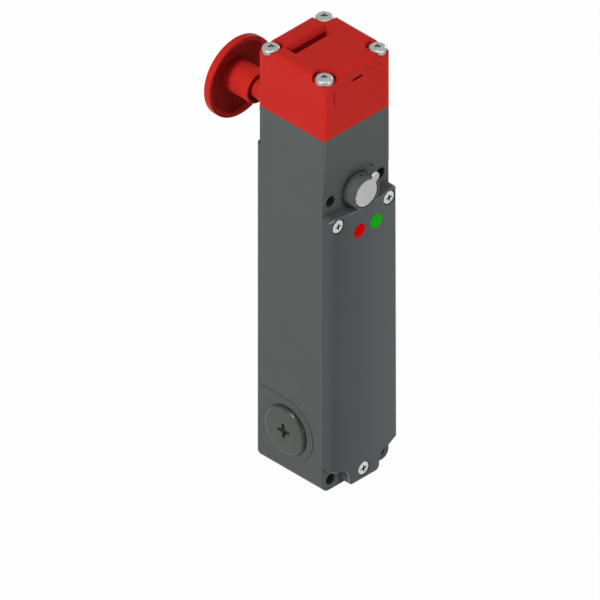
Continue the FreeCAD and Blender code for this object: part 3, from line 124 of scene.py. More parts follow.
class Graph:
    """A small helper that lays out one material's nodes."""

    def __init__(self, name: str) -> None:
        """Start an empty material.

        Args:
            name: the material's name.
        """
        self.material = bpy.data.materials.new(name)
        self.material.use_nodes = True
        self.tree = self.material.node_tree
        self.tree.nodes.clear()
        self.coords = self.tree.nodes.new("ShaderNodeTexCoord").outputs["Object"]

    def node(self, kind: str, **inputs) -> bpy.types.Node:
        """Add a node and fill its sockets.

        Args:
            kind: the node's type.
            inputs: socket names, with a value or an output to link.

        Returns:
            The new node.
        """
        made = self.tree.nodes.new(kind)
        for name, value in inputs.items():
            self.feed(made.inputs[name], value)
        return made

    def feed(self, socket: bpy.types.NodeSocket, value) -> None:
        """Link an output to a socket, or set the socket's value.

        Args:
            socket: the input to fill.
            value: an output socket, a number or a colour.
        """
        if isinstance(value, bpy.types.NodeSocket):
            self.tree.links.new(value, socket)
        elif isinstance(value, tuple) and len(value) == 3 and socket.type == "RGBA":
            socket.default_value = (*value, 1.0)
        else:
            socket.default_value = value

    def mapped(self, scale: Point) -> bpy.types.NodeSocket:
        """Object coordinates stretched by a scale along each axis."""
        made = self.node("ShaderNodeMapping", Vector=self.coords, Scale=scale)
        return made.outputs["Vector"]

    def noise(self, scale: float, detail: float = 3.0,
              stretch: Point = (1, 1, 1)) -> bpy.types.NodeSocket:
        """A noise value between nought and one.

        Args:
            scale: cells per metre.
            detail: octaves.
            stretch: scale along each axis.

        Returns:
            The value output.
        """
        made = self.node("ShaderNodeTexNoise", Vector=self.mapped(stretch), Scale=scale, Detail=detail)
        return made.outputs[0]

    def along_x(self, half: float) -> bpy.types.NodeSocket:
        """A value that rises from nought to one along X.

        Args:
            half: metres from the middle to either end.

        Returns:
            The value output.
        """
        parts = self.node("ShaderNodeSeparateXYZ", Vector=self.coords)
        return self.mapped_range(parts.outputs["X"], (-half, half), (0.0, 1.0))

    def ranged(self, value: bpy.types.NodeSocket, low: float, high: float) -> bpy.types.NodeSocket:
        """Map the middle half of a value to a range."""
        return self.mapped_range(value, (0.25, 0.75), (low, high))

    def mapped_range(self, value: bpy.types.NodeSocket, given: Pair,
                     wanted: Pair) -> bpy.types.NodeSocket:
        """Map a value from one range to another.

        Args:
            value: the value to map.
            given: the range that it comes from.
            wanted: the range that it goes to.

        Returns:
            The mapped value.
        """
        made = self.node("ShaderNodeMapRange", Value=value)
        for name, number in zip(("From Min", "From Max", "To Min", "To Max"), (*given, *wanted)):
            made.inputs[name].default_value = number
        return made.outputs["Result"]

    def mix(self, factor: bpy.types.NodeSocket, first, second) -> bpy.types.NodeSocket:
        """Blend two colours by a factor.

        Args:
            factor: the blend.
            first: colour at nought.
            second: colour at one.

        Returns:
            The colour output.
        """
        made = self.tree.nodes.new("ShaderNodeMix")
        made.data_type = "RGBA"
        self.feed(made.inputs["Factor"], factor)
        colours = [socket for socket in made.inputs if socket.type == "RGBA"]
        for socket, colour in zip(colours, (first, second)):
            self.feed(socket, colour)
        return next(socket for socket in made.outputs if socket.type == "RGBA")

    def bump(self, height: bpy.types.NodeSocket, depth: float,
             strength: float = 1.0) -> bpy.types.NodeSocket:
        """A normal raised by a height: metres for a height of one, and the share of the effect."""
        made = self.node("ShaderNodeBump", Height=height, Distance=depth, Strength=strength)
        return made.outputs["Normal"]

    def surface(self, **inputs) -> None:
        """Finish the material with one shader.

        Args:
            inputs: socket names of the shader, with underscores for spaces.
        """
        named = {name.replace("_", " "): value for name, value in inputs.items()}
        shader = self.node("ShaderNodeBsdfPrincipled", **named)
        out = self.tree.nodes.new("ShaderNodeOutputMaterial")
        self.tree.links.new(shader.outputs["BSDF"], out.inputs["Surface"])


class Coat:
    """What every finish shares."""

    def build(self, name: str) -> bpy.types.Material:
        """Make the material.

        Args:
            name: the material's name.

        Returns:
            The material.
        """
        g = Graph(name)
        self.lay(g)
        return g.material

    def lay(self, g: Graph) -> None:
        """Lay out the nodes of the finish."""
        raise NotImplementedError


@dataclass(frozen=True)
class MouldedPlastic(Coat):
    """Moulded plastic or painted die casting with a fine grain.

    Attributes:
        colour: main colour, linear.
        shade: second colour of the faint clouding.
        roughness: mean roughness.
        spread: how far roughness wanders.
        grain: grain cells per metre.
        depth: grain depth in metres.
        gloss: strength of the reflections.
        painted_light_drift: share by which the colour is painted darker towards -X and lighter towards +X,
            a painted light gradient.
        clouds: clouding cells per metre.
        patches: cells per metre of the wandering roughness.
        half: metres from the middle over which the painted light gradient runs.
    """

    colour: Colour
    shade: Colour
    roughness: float = 0.45
    spread: float = 0.06
    grain: float = 4200.0
    depth: float = 0.00002
    gloss: float = 0.1
    painted_light_drift: float = 0.0
    clouds: float = 60.0
    patches: float = 220.0
    half: float = 0.02

    def lay(self, g: Graph) -> None:
        """Lay out the nodes of the finish.

        Args:
            g: the nodes of its material.
        """
        # Painted light gradient: both tones are made darker towards -X and lighter towards +X by the share
        # drift.
        across = g.along_x(self.half)
        tones = [g.mix(across, toned(tone, 1 - self.painted_light_drift), toned(tone, 1 + self.painted_light_drift))
                 for tone in (self.colour, self.shade)]
        colour = g.mix(g.ranged(g.noise(self.clouds, detail=4.0), 0.0, 1.0), *tones)
        patches = g.noise(self.patches, detail=5.0)
        rough = g.ranged(patches, self.roughness - self.spread, self.roughness + self.spread)
        grain = g.bump(g.noise(self.grain, detail=2.0), self.depth, strength=0.6)
        g.surface(Base_Color=colour, Roughness=rough, Normal=grain, Specular_IOR_Level=self.gloss)


@dataclass(frozen=True)
class PlatedSteel(Coat):
    """Turned, stamped or drawn metal with a fine directional finish.

    Attributes:
        colour: metal colour, linear.
        roughness: mean roughness.
        stretch: scale of the marks along each axis.
        marks: marks per metre.
        depth: depth of the marks in metres.
        stains: stain cells per metre.
        worn: share of the colour left in the stains.
        smooth: how far roughness falls below its mean.
        rough: how far roughness rises above its mean.
    """

    colour: Colour
    roughness: float = 0.3
    stretch: Point = (1.0, 1.0, 1.0)
    marks: float = 1500.0
    depth: float = 0.00001
    stains: float = 180.0
    worn: float = 0.82
    smooth: float = 0.07
    rough: float = 0.09

    def lay(self, g: Graph) -> None:
        """Lay out the nodes of the finish.

        Args:
            g: the nodes of its material.
        """
        marks = g.noise(self.marks, detail=6.0, stretch=self.stretch)
        stain = g.ranged(g.noise(self.stains, detail=4.0), 0.0, 1.0)
        rough = g.ranged(marks, self.roughness - self.smooth, self.roughness + self.rough)
        g.surface(Base_Color=g.mix(stain, self.colour, toned(self.colour, self.worn)), Metallic=1.0,
                  Roughness=rough, Normal=g.bump(marks, self.depth, strength=0.5))


@dataclass(frozen=True)
class SoftRubber(Coat):
    """Moulded seal rubber.

    Attributes:
        colour: linear colour.
        dust: dust cells per metre.
        pale: how much lighter the dust is than the rubber.
        roughness: least and most roughness.
        patches: cells per metre of the wandering roughness.
        grain: grain cells per metre.
        depth: grain depth in metres.
    """

    colour: Colour = (0.02, 0.02, 0.021)
    dust: float = 400.0
    pale: float = 1.8
    roughness: Pair = (0.62, 0.82)
    patches: float = 900.0
    grain: float = 2500.0
    depth: float = 0.00003

    def lay(self, g: Graph) -> None:
        """Lay out the nodes of the finish.

        Args:
            g: the nodes of its material.
        """
        dust = g.ranged(g.noise(self.dust, detail=5.0), 0.0, 1.0)
        g.surface(Base_Color=g.mix(dust, self.colour, toned(self.colour, self.pale)),
                  Roughness=g.ranged(g.noise(self.patches), *self.roughness),
                  Normal=g.bump(g.noise(self.grain), self.depth, strength=0.5))


@dataclass(frozen=True)
class LampLens(Coat):
    """A clear coloured lens over a lamp.

    Attributes:
        colour: linear colour.
        glow: light of its own.
        gloss: strength of the reflections.
        swirls: cells per metre of the faint swirl.
        deep: share of the colour left in the swirl.
        roughness: least and most roughness.
        patches: cells per metre of the wandering roughness.
        ripples: ripple cells per metre.
        depth: ripple depth in metres.
    """

    colour: Colour
    glow: float = 0.25
    gloss: float = 0.01
    swirls: float = 500.0
    deep: float = 0.8
    roughness: Pair = (0.16, 0.26)
    patches: float = 300.0
    ripples: float = 1200.0
    depth: float = 0.00001

    def lay(self, g: Graph) -> None:
        """Lay out the nodes of the finish.

        Args:
            g: the nodes of its material.
        """
        swirl = g.ranged(g.noise(self.swirls), 0.0, 1.0)
        g.surface(Base_Color=g.mix(swirl, self.colour, toned(self.colour, self.deep)),
                  Roughness=g.ranged(g.noise(self.patches), *self.roughness),
                  Specular_IOR_Level=self.gloss, Emission_Color=self.colour, Emission_Strength=self.glow,
                  Normal=g.bump(g.noise(self.ripples), self.depth, strength=0.3))


@dataclass(frozen=True)
class Winding(Coat):
    """Enamelled wire wound in level turns.

    Attributes:
        colour: enamel colour, linear.
        turns: turns per metre.
        wander: how far the turns stray from level.
        gap: share of the colour left between the turns.
        roughness: least and most roughness.
        patches: cells per metre of the wandering roughness.
        depth: metres from a turn's top to the gap.
    """

    colour: Colour
    turns: float = 420.0
    wander: float = 0.6
    gap: float = 0.45
    roughness: Pair = (0.26, 0.4)
    patches: float = 600.0
    depth: float = 0.00018

    def lay(self, g: Graph) -> None:
        """Lay out the nodes of the finish.

        Args:
            g: the nodes of its material.
        """
        bands = g.node("ShaderNodeTexWave", Vector=g.coords, Scale=self.turns, Distortion=self.wander)
        bands.bands_direction = "Z"
        height = bands.outputs["Fac"]
        g.surface(Base_Color=g.mix(height, toned(self.colour, self.gap), self.colour), Metallic=0.7,
                  Roughness=g.ranged(g.noise(self.patches), *self.roughness),
                  Normal=g.bump(height, self.depth))


@dataclass(frozen=True)
class CircuitBoard(Coat):
    """Lacquered glass-fibre board with its tracks.

    Attributes:
        colour: lacquer colour, linear.
        track: colour over a track.
        cells: track cells per metre.
        weave: weave cells per metre.
        roughness: least and most roughness.
        depth: height of a track in metres.
    """

    colour: Colour
    track: Colour
    cells: float = 260.0
    weave: float = 1800.0
    roughness: Pair = (0.25, 0.4)
    depth: float = 0.00004

    def lay(self, g: Graph) -> None:
        """Lay out the nodes of the finish.

        Args:
            g: the nodes of its material.
        """
        bricks = g.node("ShaderNodeTexBrick", Vector=g.mapped((1.0, 1.0, 1.0)), Scale=self.cells)
        bricks.inputs["Mortar Size"].default_value = 0.05
        tracks = bricks.outputs["Fac"]
        weave = g.noise(self.weave, detail=2.0, stretch=(1.0, 1.0, 3.0))
        g.surface(Base_Color=g.mix(tracks, self.colour, self.track), Coat_Weight=0.4,
                  Roughness=g.ranged(weave, *self.roughness), Normal=g.bump(tracks, self.depth))


class Finish(Enum):
    """Every finish on the switch."""

    HOUSING = MouldedPlastic(srgb("5a5f5d"), srgb("575c5a"), roughness=0.4, spread=0.04, grain=3600.0,
                             depth=0.00002, gloss=0.06)
    # The cover carries a painted light gradient, darker at -X and lighter at +X.
    COVER = MouldedPlastic(srgb("585d5f"), srgb("555a5c"), roughness=0.34, spread=0.04, grain=3600.0,
                           depth=0.000015, gloss=0.07, painted_light_drift=0.25)
    # Lighter tone on the lit part of the cover's outline round: a painted highlight.
    COVER_EDGE = MouldedPlastic(srgb("969b9d"), srgb("8e9395"), roughness=0.3, spread=0.04,
                                grain=3600.0, depth=0.00001, gloss=0.14)
    HEAD = MouldedPlastic(srgb("cb2c26"), srgb("c92b25"), roughness=0.28, spread=0.02, grain=3000.0,
                          depth=0.000006, gloss=0.025)
    # Darker red on the funnel's end face on the +X side: painted shade.
    FUNNEL = MouldedPlastic(srgb("b72b27"), srgb("b52a26"), roughness=0.28, spread=0.02, grain=3000.0,
                            depth=0.000006, gloss=0.04)
    # Near-black red on the walls and floor of the blank's notch: painted shade in the recess.
    NOTCH = MouldedPlastic(srgb("5a0e0c"), srgb("540c0a"), roughness=0.5, spread=0.04, grain=3000.0,
                           depth=0.000006, gloss=0.02)
    BUTTON = MouldedPlastic(srgb("cb2c26"), srgb("c92b25"), roughness=0.28, spread=0.02, grain=3000.0,
                            depth=0.000005, gloss=0.025)
    # Darker red with less gloss on the button's hollow side: painted shade.
    DISH = MouldedPlastic(srgb("a82a25"), srgb("a42823"), roughness=0.5, spread=0.04, grain=3000.0,
                          depth=0.000005, gloss=0.012)
    CAP = MouldedPlastic(srgb("cacac6"), srgb("c6c6c2"), roughness=0.36, spread=0.04, grain=3000.0,
                         depth=0.00001, gloss=0.08)
    # Lighter tone on the upper left of the cap's rounded edge: a painted highlight.
    CAP_EDGE = MouldedPlastic(srgb("e6e8e4"), srgb("e0e2de"), roughness=0.3, spread=0.04,
                              grain=3000.0, depth=0.00001, gloss=0.1)
    PLUG = MouldedPlastic(srgb("494d47"), srgb("464a44"), roughness=0.22, spread=0.02, grain=3600.0,
                          depth=0.000006, gloss=0.3)
    # Darker tone on the side of the plugs' rim that looks up and forwards: painted shade.
    PLUG_RIM = MouldedPlastic(srgb("2c2f2b"), srgb("2a2d29"), roughness=0.24, spread=0.02,
                              grain=3600.0, depth=0.000006, gloss=0.34)
    DARK = MouldedPlastic((0.03, 0.03, 0.03), (0.022, 0.022, 0.022), roughness=0.4)
    PALE = MouldedPlastic((0.72, 0.7, 0.64), (0.66, 0.64, 0.57), roughness=0.42)
    SCREW = PlatedSteel((0.4, 0.41, 0.39), roughness=0.36)
    COVER_SCREW = PlatedSteel((0.64, 0.66, 0.63), roughness=0.42)
    # Near-black on the walls of the cross recesses: painted shade.
    RECESS = PlatedSteel((0.035, 0.035, 0.032), roughness=0.5)
    PLATE = PlatedSteel((0.6, 0.6, 0.58), roughness=0.34, stretch=(1.0, 1.0, 6.0))
    IRON = PlatedSteel((0.36, 0.36, 0.37), roughness=0.4, stretch=(1.0, 1.0, 8.0))
    SPRING = PlatedSteel((0.5, 0.5, 0.51), roughness=0.25)
    BRASS = PlatedSteel((0.62, 0.45, 0.16), roughness=0.3)
    RUBBER = SoftRubber()
    RED_LENS = LampLens(srgb("c80202"), glow=0.18)
    GREEN_LENS = LampLens(srgb("06a808"))
    EMITTER = LampLens((0.9, 0.9, 0.82), glow=0.4)
    COIL = Winding((0.6, 0.22, 0.09))
    BOARD = CircuitBoard((0.01, 0.12, 0.05), (0.02, 0.2, 0.09))


class Paints:
    """Builds each finish once and puts it on pieces."""

    def __init__(self) -> None:
        """Start with no material made."""
        self.made: dict[Finish, bpy.types.Material] = {}

    def get(self, finish: Finish) -> bpy.types.Material:
        """The material of a finish, made at its first use.

        Args:
            finish: the finish.

        Returns:
            The material.
        """
        if finish not in self.made:
            self.made[finish] = finish.value.build(finish.name.lower())
        return self.made[finish]

    def coat(self, obj: bpy.types.Object, finish: Finish) -> None:
        """Give an object one finish all over, and let its faces keep their marks.

        Args:
            obj: the object.
            finish: the finish.
        """
        if obj.data.materials:
            obj.data.materials.clear()
        obj.data.materials.append(self.get(finish))


# Each node's finish, also where a detailed piece takes the place of its solid

NODE_FINISH: dict[str, Finish] = {
    "cover_gasket": Finish.RUBBER, "head_gasket": Finish.RUBBER, "chassis_screws": Finish.SCREW,
    "cam_wheel": Finish.PLATE, "cam_spindle": Finish.SCREW, "bearing_plates": Finish.PLATE,
    "lock_bolt": Finish.PLATE, "solenoid_plunger": Finish.IRON, "link_pin": Finish.SCREW,
    "solenoid_yoke": Finish.IRON, "coil_bobbin": Finish.PALE, "solenoid_coil": Finish.COIL,
    "solenoid_core": Finish.IRON, "lock_spring": Finish.SPRING, "rod_spring": Finish.SPRING,
    "switch_rod": Finish.PALE, "contact_bridges": Finish.BRASS, "contact_block": Finish.DARK,
    "terminal_clamps": Finish.BRASS, "fixed_contacts": Finish.BRASS, "terminal_screws": Finish.SCREW,
    "chassis_plate": Finish.PLATE, "rod_guide": Finish.DARK, "earth_terminal": Finish.BRASS,
    "earth_screw": Finish.SCREW, "led_board": Finish.BOARD, "led_emitters": Finish.EMITTER,
    "led_board_screws": Finish.SCREW, "entry_plug_seals": Finish.RUBBER,
    "release_spindle": Finish.PLATE, "release_seal": Finish.RUBBER, "release_circlip": Finish.SPRING,
    "release_crank": Finish.PLATE, "escape_seal": Finish.RUBBER, "escape_wedge": Finish.PLATE,
    "housing": Finish.HOUSING, "cover": Finish.COVER, "head_casing": Finish.HEAD,
    "front_slot_blank": Finish.HEAD, "cover_screws": Finish.COVER_SCREW, "head_screws": Finish.SCREW,
    "red_lens": Finish.RED_LENS, "green_lens": Finish.GREEN_LENS, "left_entry_plug": Finish.PLUG,
    "right_entry_plug": Finish.PLUG, "release_cap": Finish.CAP, "escape_bush": Finish.HOUSING,
    "escape_stem": Finish.BUTTON, "escape_button": Finish.BUTTON,
}

# Shapes


def spun(outline: Sequence[Point], steps: int = 96, fine: int = 4) -> Mesh:
    """Turn an outline about the Z axis.

    Args:
        outline: corners as radius, height and rounding, in millimetres, from one end to the other.
        steps: flats round the axis.
        fine: flats in each rounded corner.

    Returns:
        The closed shape.
    """
    shape = bmesh.new()
    corners = [shape.verts.new((radius * MM, 0, height * MM)) for radius, height, _ in outline]
    for pair in zip(corners, corners[1:]):
        shape.edges.new(pair)
    for reach in sorted({corner[2] for corner in outline} - {0}):
        picked = [vert for vert, corner in zip(corners, outline) if corner[2] == reach]
        bmesh.ops.bevel(shape, geom=picked, offset=reach * MM, segments=fine, profile=0.5,
                        affect="VERTICES", clamp_overlap=True, material=-1)
    bmesh.ops.spin(shape, geom=[*shape.verts, *shape.edges], cent=(0, 0, 0), axis=(0, 0, 1),
                   angle=math.tau, steps=steps, use_merge=True)
    return closed(shape)


def closed(shape: Mesh) -> Mesh:
    """Merge a shape's doubles and point its faces outwards.

    Args:
        shape: the shape to change.

    Returns:
        The same shape.
    """
    bmesh.ops.remove_doubles(shape, verts=shape.verts, dist=SAME_POINT)
    bmesh.ops.recalc_face_normals(shape, faces=shape.faces)
    return shape


def turned(shape: Mesh, angle: float) -> Mesh:
    """Turn a shape about the Z axis.

    Args:
        shape: the shape to change.
        angle: degrees, from X towards Y.

    Returns:
        The same shape.
    """
    spin = Matrix.Rotation(math.radians(angle), 3, "Z")
    bmesh.ops.rotate(shape, cent=(0, 0, 0), matrix=spin, verts=shape.verts)
    return shape


def moved(shape: Mesh, step: Point) -> Mesh:
    """Move a shape by a step in millimetres."""
    bmesh.ops.translate(shape, vec=Vector(step) * MM, verts=shape.verts)
    return shape


def block(length: float, width: float, height: float) -> Mesh:
    """A block round the origin, its sides in millimetres along X, Y and Z.

    Args:
        length: side along X.
        width: side along Y.
        height: side along Z.

    Returns:
        The closed block.
    """
    shape = bmesh.new()
    bmesh.ops.create_cube(shape, size=1.0)
    bmesh.ops.scale(shape, vec=Vector((length, width, height)) * MM, verts=shape.verts)
    return shape


def bar(length: float, width: float, depth: float, draft: float = 0.72) -> Mesh:
    """A bar that narrows downwards, as one arm of a cross recess.

    Args:
        length: millimetres along X at height zero.
        width: millimetres along Y at height zero.
        depth: millimetres below zero.
        draft: share of the length and width left at the bottom.

    Returns:
        The closed tool, which reaches as far above zero as below it.
    """
    shape = block(length, width, 2 * depth)
    for share, side in ((draft, -1), (2 - draft, 1)):
        ring = [vert for vert in shape.verts if vert.co.z * side > 0]
        bmesh.ops.scale(shape, vec=(share, share, 1), verts=ring)
    return shape


@dataclass(frozen=True)
class Cross:
    """A cross recess with the widened middle that a driver's tip needs.

    Attributes:
        reach: half of the span in millimetres.
        width: width of an arm.
        depth: depth of the floor.
        flare: side of the square middle, as a share of the arm's width.
        roll: degrees from the X axis to the first arm.
        level: how far along the axis the normal of a floor or rim looks, at the least.
    """

    reach: float
    width: float
    depth: float
    flare: float = 2.3
    roll: float = 0.0
    level: float = 0.8

    def tools(self, top: float) -> list[Mesh]:
        """The closed tools that cut the recess.

        Args:
            top: the height that it is cut down from.

        Returns:
            The two arms and the middle.
        """
        arm = (2 * self.reach, self.width)
        middle = (self.flare * self.width, self.flare * self.width)
        return [moved(turned(bar(*sides, self.depth), angle + self.roll), (0, 0, top))
                for sides, angle in ((arm, 0), (arm, 90), (middle, 45))]

    def mark_painted_shade(self, shape: Mesh, top: float) -> Mesh:
        """Mark the recess's walls for the second finish, a painted shade.

        Args:
            shape: the shape with the recess.
            top: the height that it was cut down from.

        Returns:
            The same shape.
        """
        for face in shape.faces:
            middle = face.calc_center_median() / MM
            inside = middle.xy.length < self.reach and top - self.depth < middle.z < top
            face.material_index = int(inside and abs(face.normal.z) < self.level)
        return shape


def carved(shape: Mesh, tools: list[Mesh]) -> Mesh:
    """Cut tools out of a shape; all of them are used up.

    Args:
        shape: the closed shape.
        tools: closed shapes to take away.

    Returns:
        The cut shape.
    """
    body = emit("carving", shape)
    for tool in tools:
        cutter = emit("cutter", tool)
        step = body.modifiers.new("cut", "BOOLEAN")
        step.operation = "DIFFERENCE"
        step.solver = "EXACT"
        step.object = cutter
        graph = bpy.context.evaluated_depsgraph_get()
        mesh = bpy.data.meshes.new_from_object(body.evaluated_get(graph))
        body.modifiers.clear()
        body.data = mesh
        bpy.data.objects.remove(cutter)
    made = bmesh.new()
    made.from_mesh(body.data)
    bpy.data.objects.remove(body)
    return closed(made)


def copied(node: bpy.types.Object) -> Mesh:
    """A merged copy of a solid, with its flat faces whole.

    Args:
        node: the solid's object, left as it is.

    Returns:
        The copy.
    """
    shape = bmesh.new()
    shape.from_mesh(node.data)
    bmesh.ops.remove_doubles(shape, verts=shape.verts, dist=SAME_POINT)
    bmesh.ops.dissolve_limit(shape, angle_limit=FLAT, verts=shape.verts, edges=shape.edges)
    return shape


def softened(shape: Mesh, wanted: Callable[[bmesh.types.BMEdge], bool], width: float) -> Mesh:
    """Round the sharp edges that a test picks.

    Args:
        shape: the shape to change.
        wanted: the test of an edge.
        width: millimetres of the round.

    Returns:
        The same shape.
    """
    picked = [edge for edge in shape.edges
              if edge.is_manifold and edge.calc_face_angle() > SHARP and wanted(edge)]
    bmesh.ops.bevel(shape, geom=picked, offset=width * MM, segments=3, profile=0.5,
                    affect="EDGES", clamp_overlap=True, material=-1)
    return shape


def marked(shape: Mesh, wanted: Callable[[bmesh.types.BMFace], bool]) -> Mesh:
    """Mark the faces that a test picks for the second finish.

    Args:
        shape: the shape to change.
        wanted: the test of a face.

    Returns:
        The same shape.
    """
    shape.normal_update()
    for face in shape.faces:
        face.material_index = int(wanted(face))
    return shape


def on_front_round(face: bmesh.types.BMFace) -> bool:
    """Whether a face lies on the round between a front and its sides."""
    return ROUND_LOOKS[0] < face.normal.y < ROUND_LOOKS[1]


def placed(name: str, data: bpy.types.ID) -> bpy.types.Object:
    """Put data in the scene as a new object.

    Args:
        name: the object's name.
        data: its mesh, lamp or camera.

    Returns:
        The new object.
    """
    made = bpy.data.objects.new(name, data)
    bpy.context.scene.collection.objects.link(made)
    return made


def emit(name: str, shape: Mesh) -> bpy.types.Object:
    """Turn a bmesh into an object at the origin, smooth but for its sharp edges.

    Args:
        name: the object's name.
        shape: the bmesh, freed here.

    Returns:
        The new object.
    """
    mesh = bpy.data.meshes.new(name)
    shape.to_mesh(mesh)
    shape.free()
    mesh.shade_smooth()
    mesh.set_sharp_from_angle(angle=SHARP)
    return placed(name, mesh)


@dataclass(frozen=True)
class Spot:
    """Where a piece that is made on the Z axis goes.

    Attributes:
        at: the place of its own origin, in millimetres.
        way: the direction that its Z axis takes.
        side: the direction that its X axis takes.
    """

    at: Point
    way: Point = (0, 0, 1)
    side: Point = (1, 0, 0)

    def settle(self, shape: Mesh) -> Mesh:
        """Turn and move a shape to this spot.

        Args:
            shape: the shape to change.

        Returns:
            The same shape.
        """
        up = Vector(self.way)
        right = Vector(self.side)
        turn = Matrix((right, up.cross(right), up)).transposed()
        bmesh.ops.rotate(shape, cent=(0, 0, 0), matrix=turn, verts=shape.verts)
        return moved(shape, self.at)


def joined(shapes: list[Mesh]) -> Mesh:
    """Put several shapes in one bmesh.

    Args:
        shapes: the shapes, used up here.

    Returns:
        The new bmesh.
    """
    whole = bmesh.new()
    for shape in shapes:
        mesh = bpy.data.meshes.new("joining")
        shape.to_mesh(mesh)
        shape.free()
        whole.from_mesh(mesh)
        bpy.data.meshes.remove(mesh)
    return whole


# Sub-assemblies


@dataclass
class Assembly:
    """What every group of pieces shares.

    Attributes:
        frame: the loaded part.
        paints: the finishes.
    """

    frame: dict
    paints: Paints

    def solid(self, node: str) -> Mesh:
        """A merged copy of a node's solid."""
        return copied(self.frame["nodes"][node])

    def fit(self, name: str, shape: Mesh, node: str, finish: Finish, second: Finish | None = None,
            body: str = FRAME_BODY) -> bpy.types.Object:
        """Finish a piece, tie it to its body and put it in the place of its node.

        Args:
            name: the piece's name.
            shape: its bmesh, used up here.
            node: the solid that it stands for.
            finish: its finish.
            second: the finish of its marked faces.
            body: the body that it rides on.

        Returns:
            The finished piece.
        """
        piece = emit(name, shape)
        self.paints.coat(piece, finish)
        if second:
            piece.data.materials.append(self.paints.get(second))
        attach(piece, body)
        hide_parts(node)
        LOG.info("%s: %d faces, %s, on %s", name, len(piece.data.polygons), finish.name.lower(), body)
        return piece


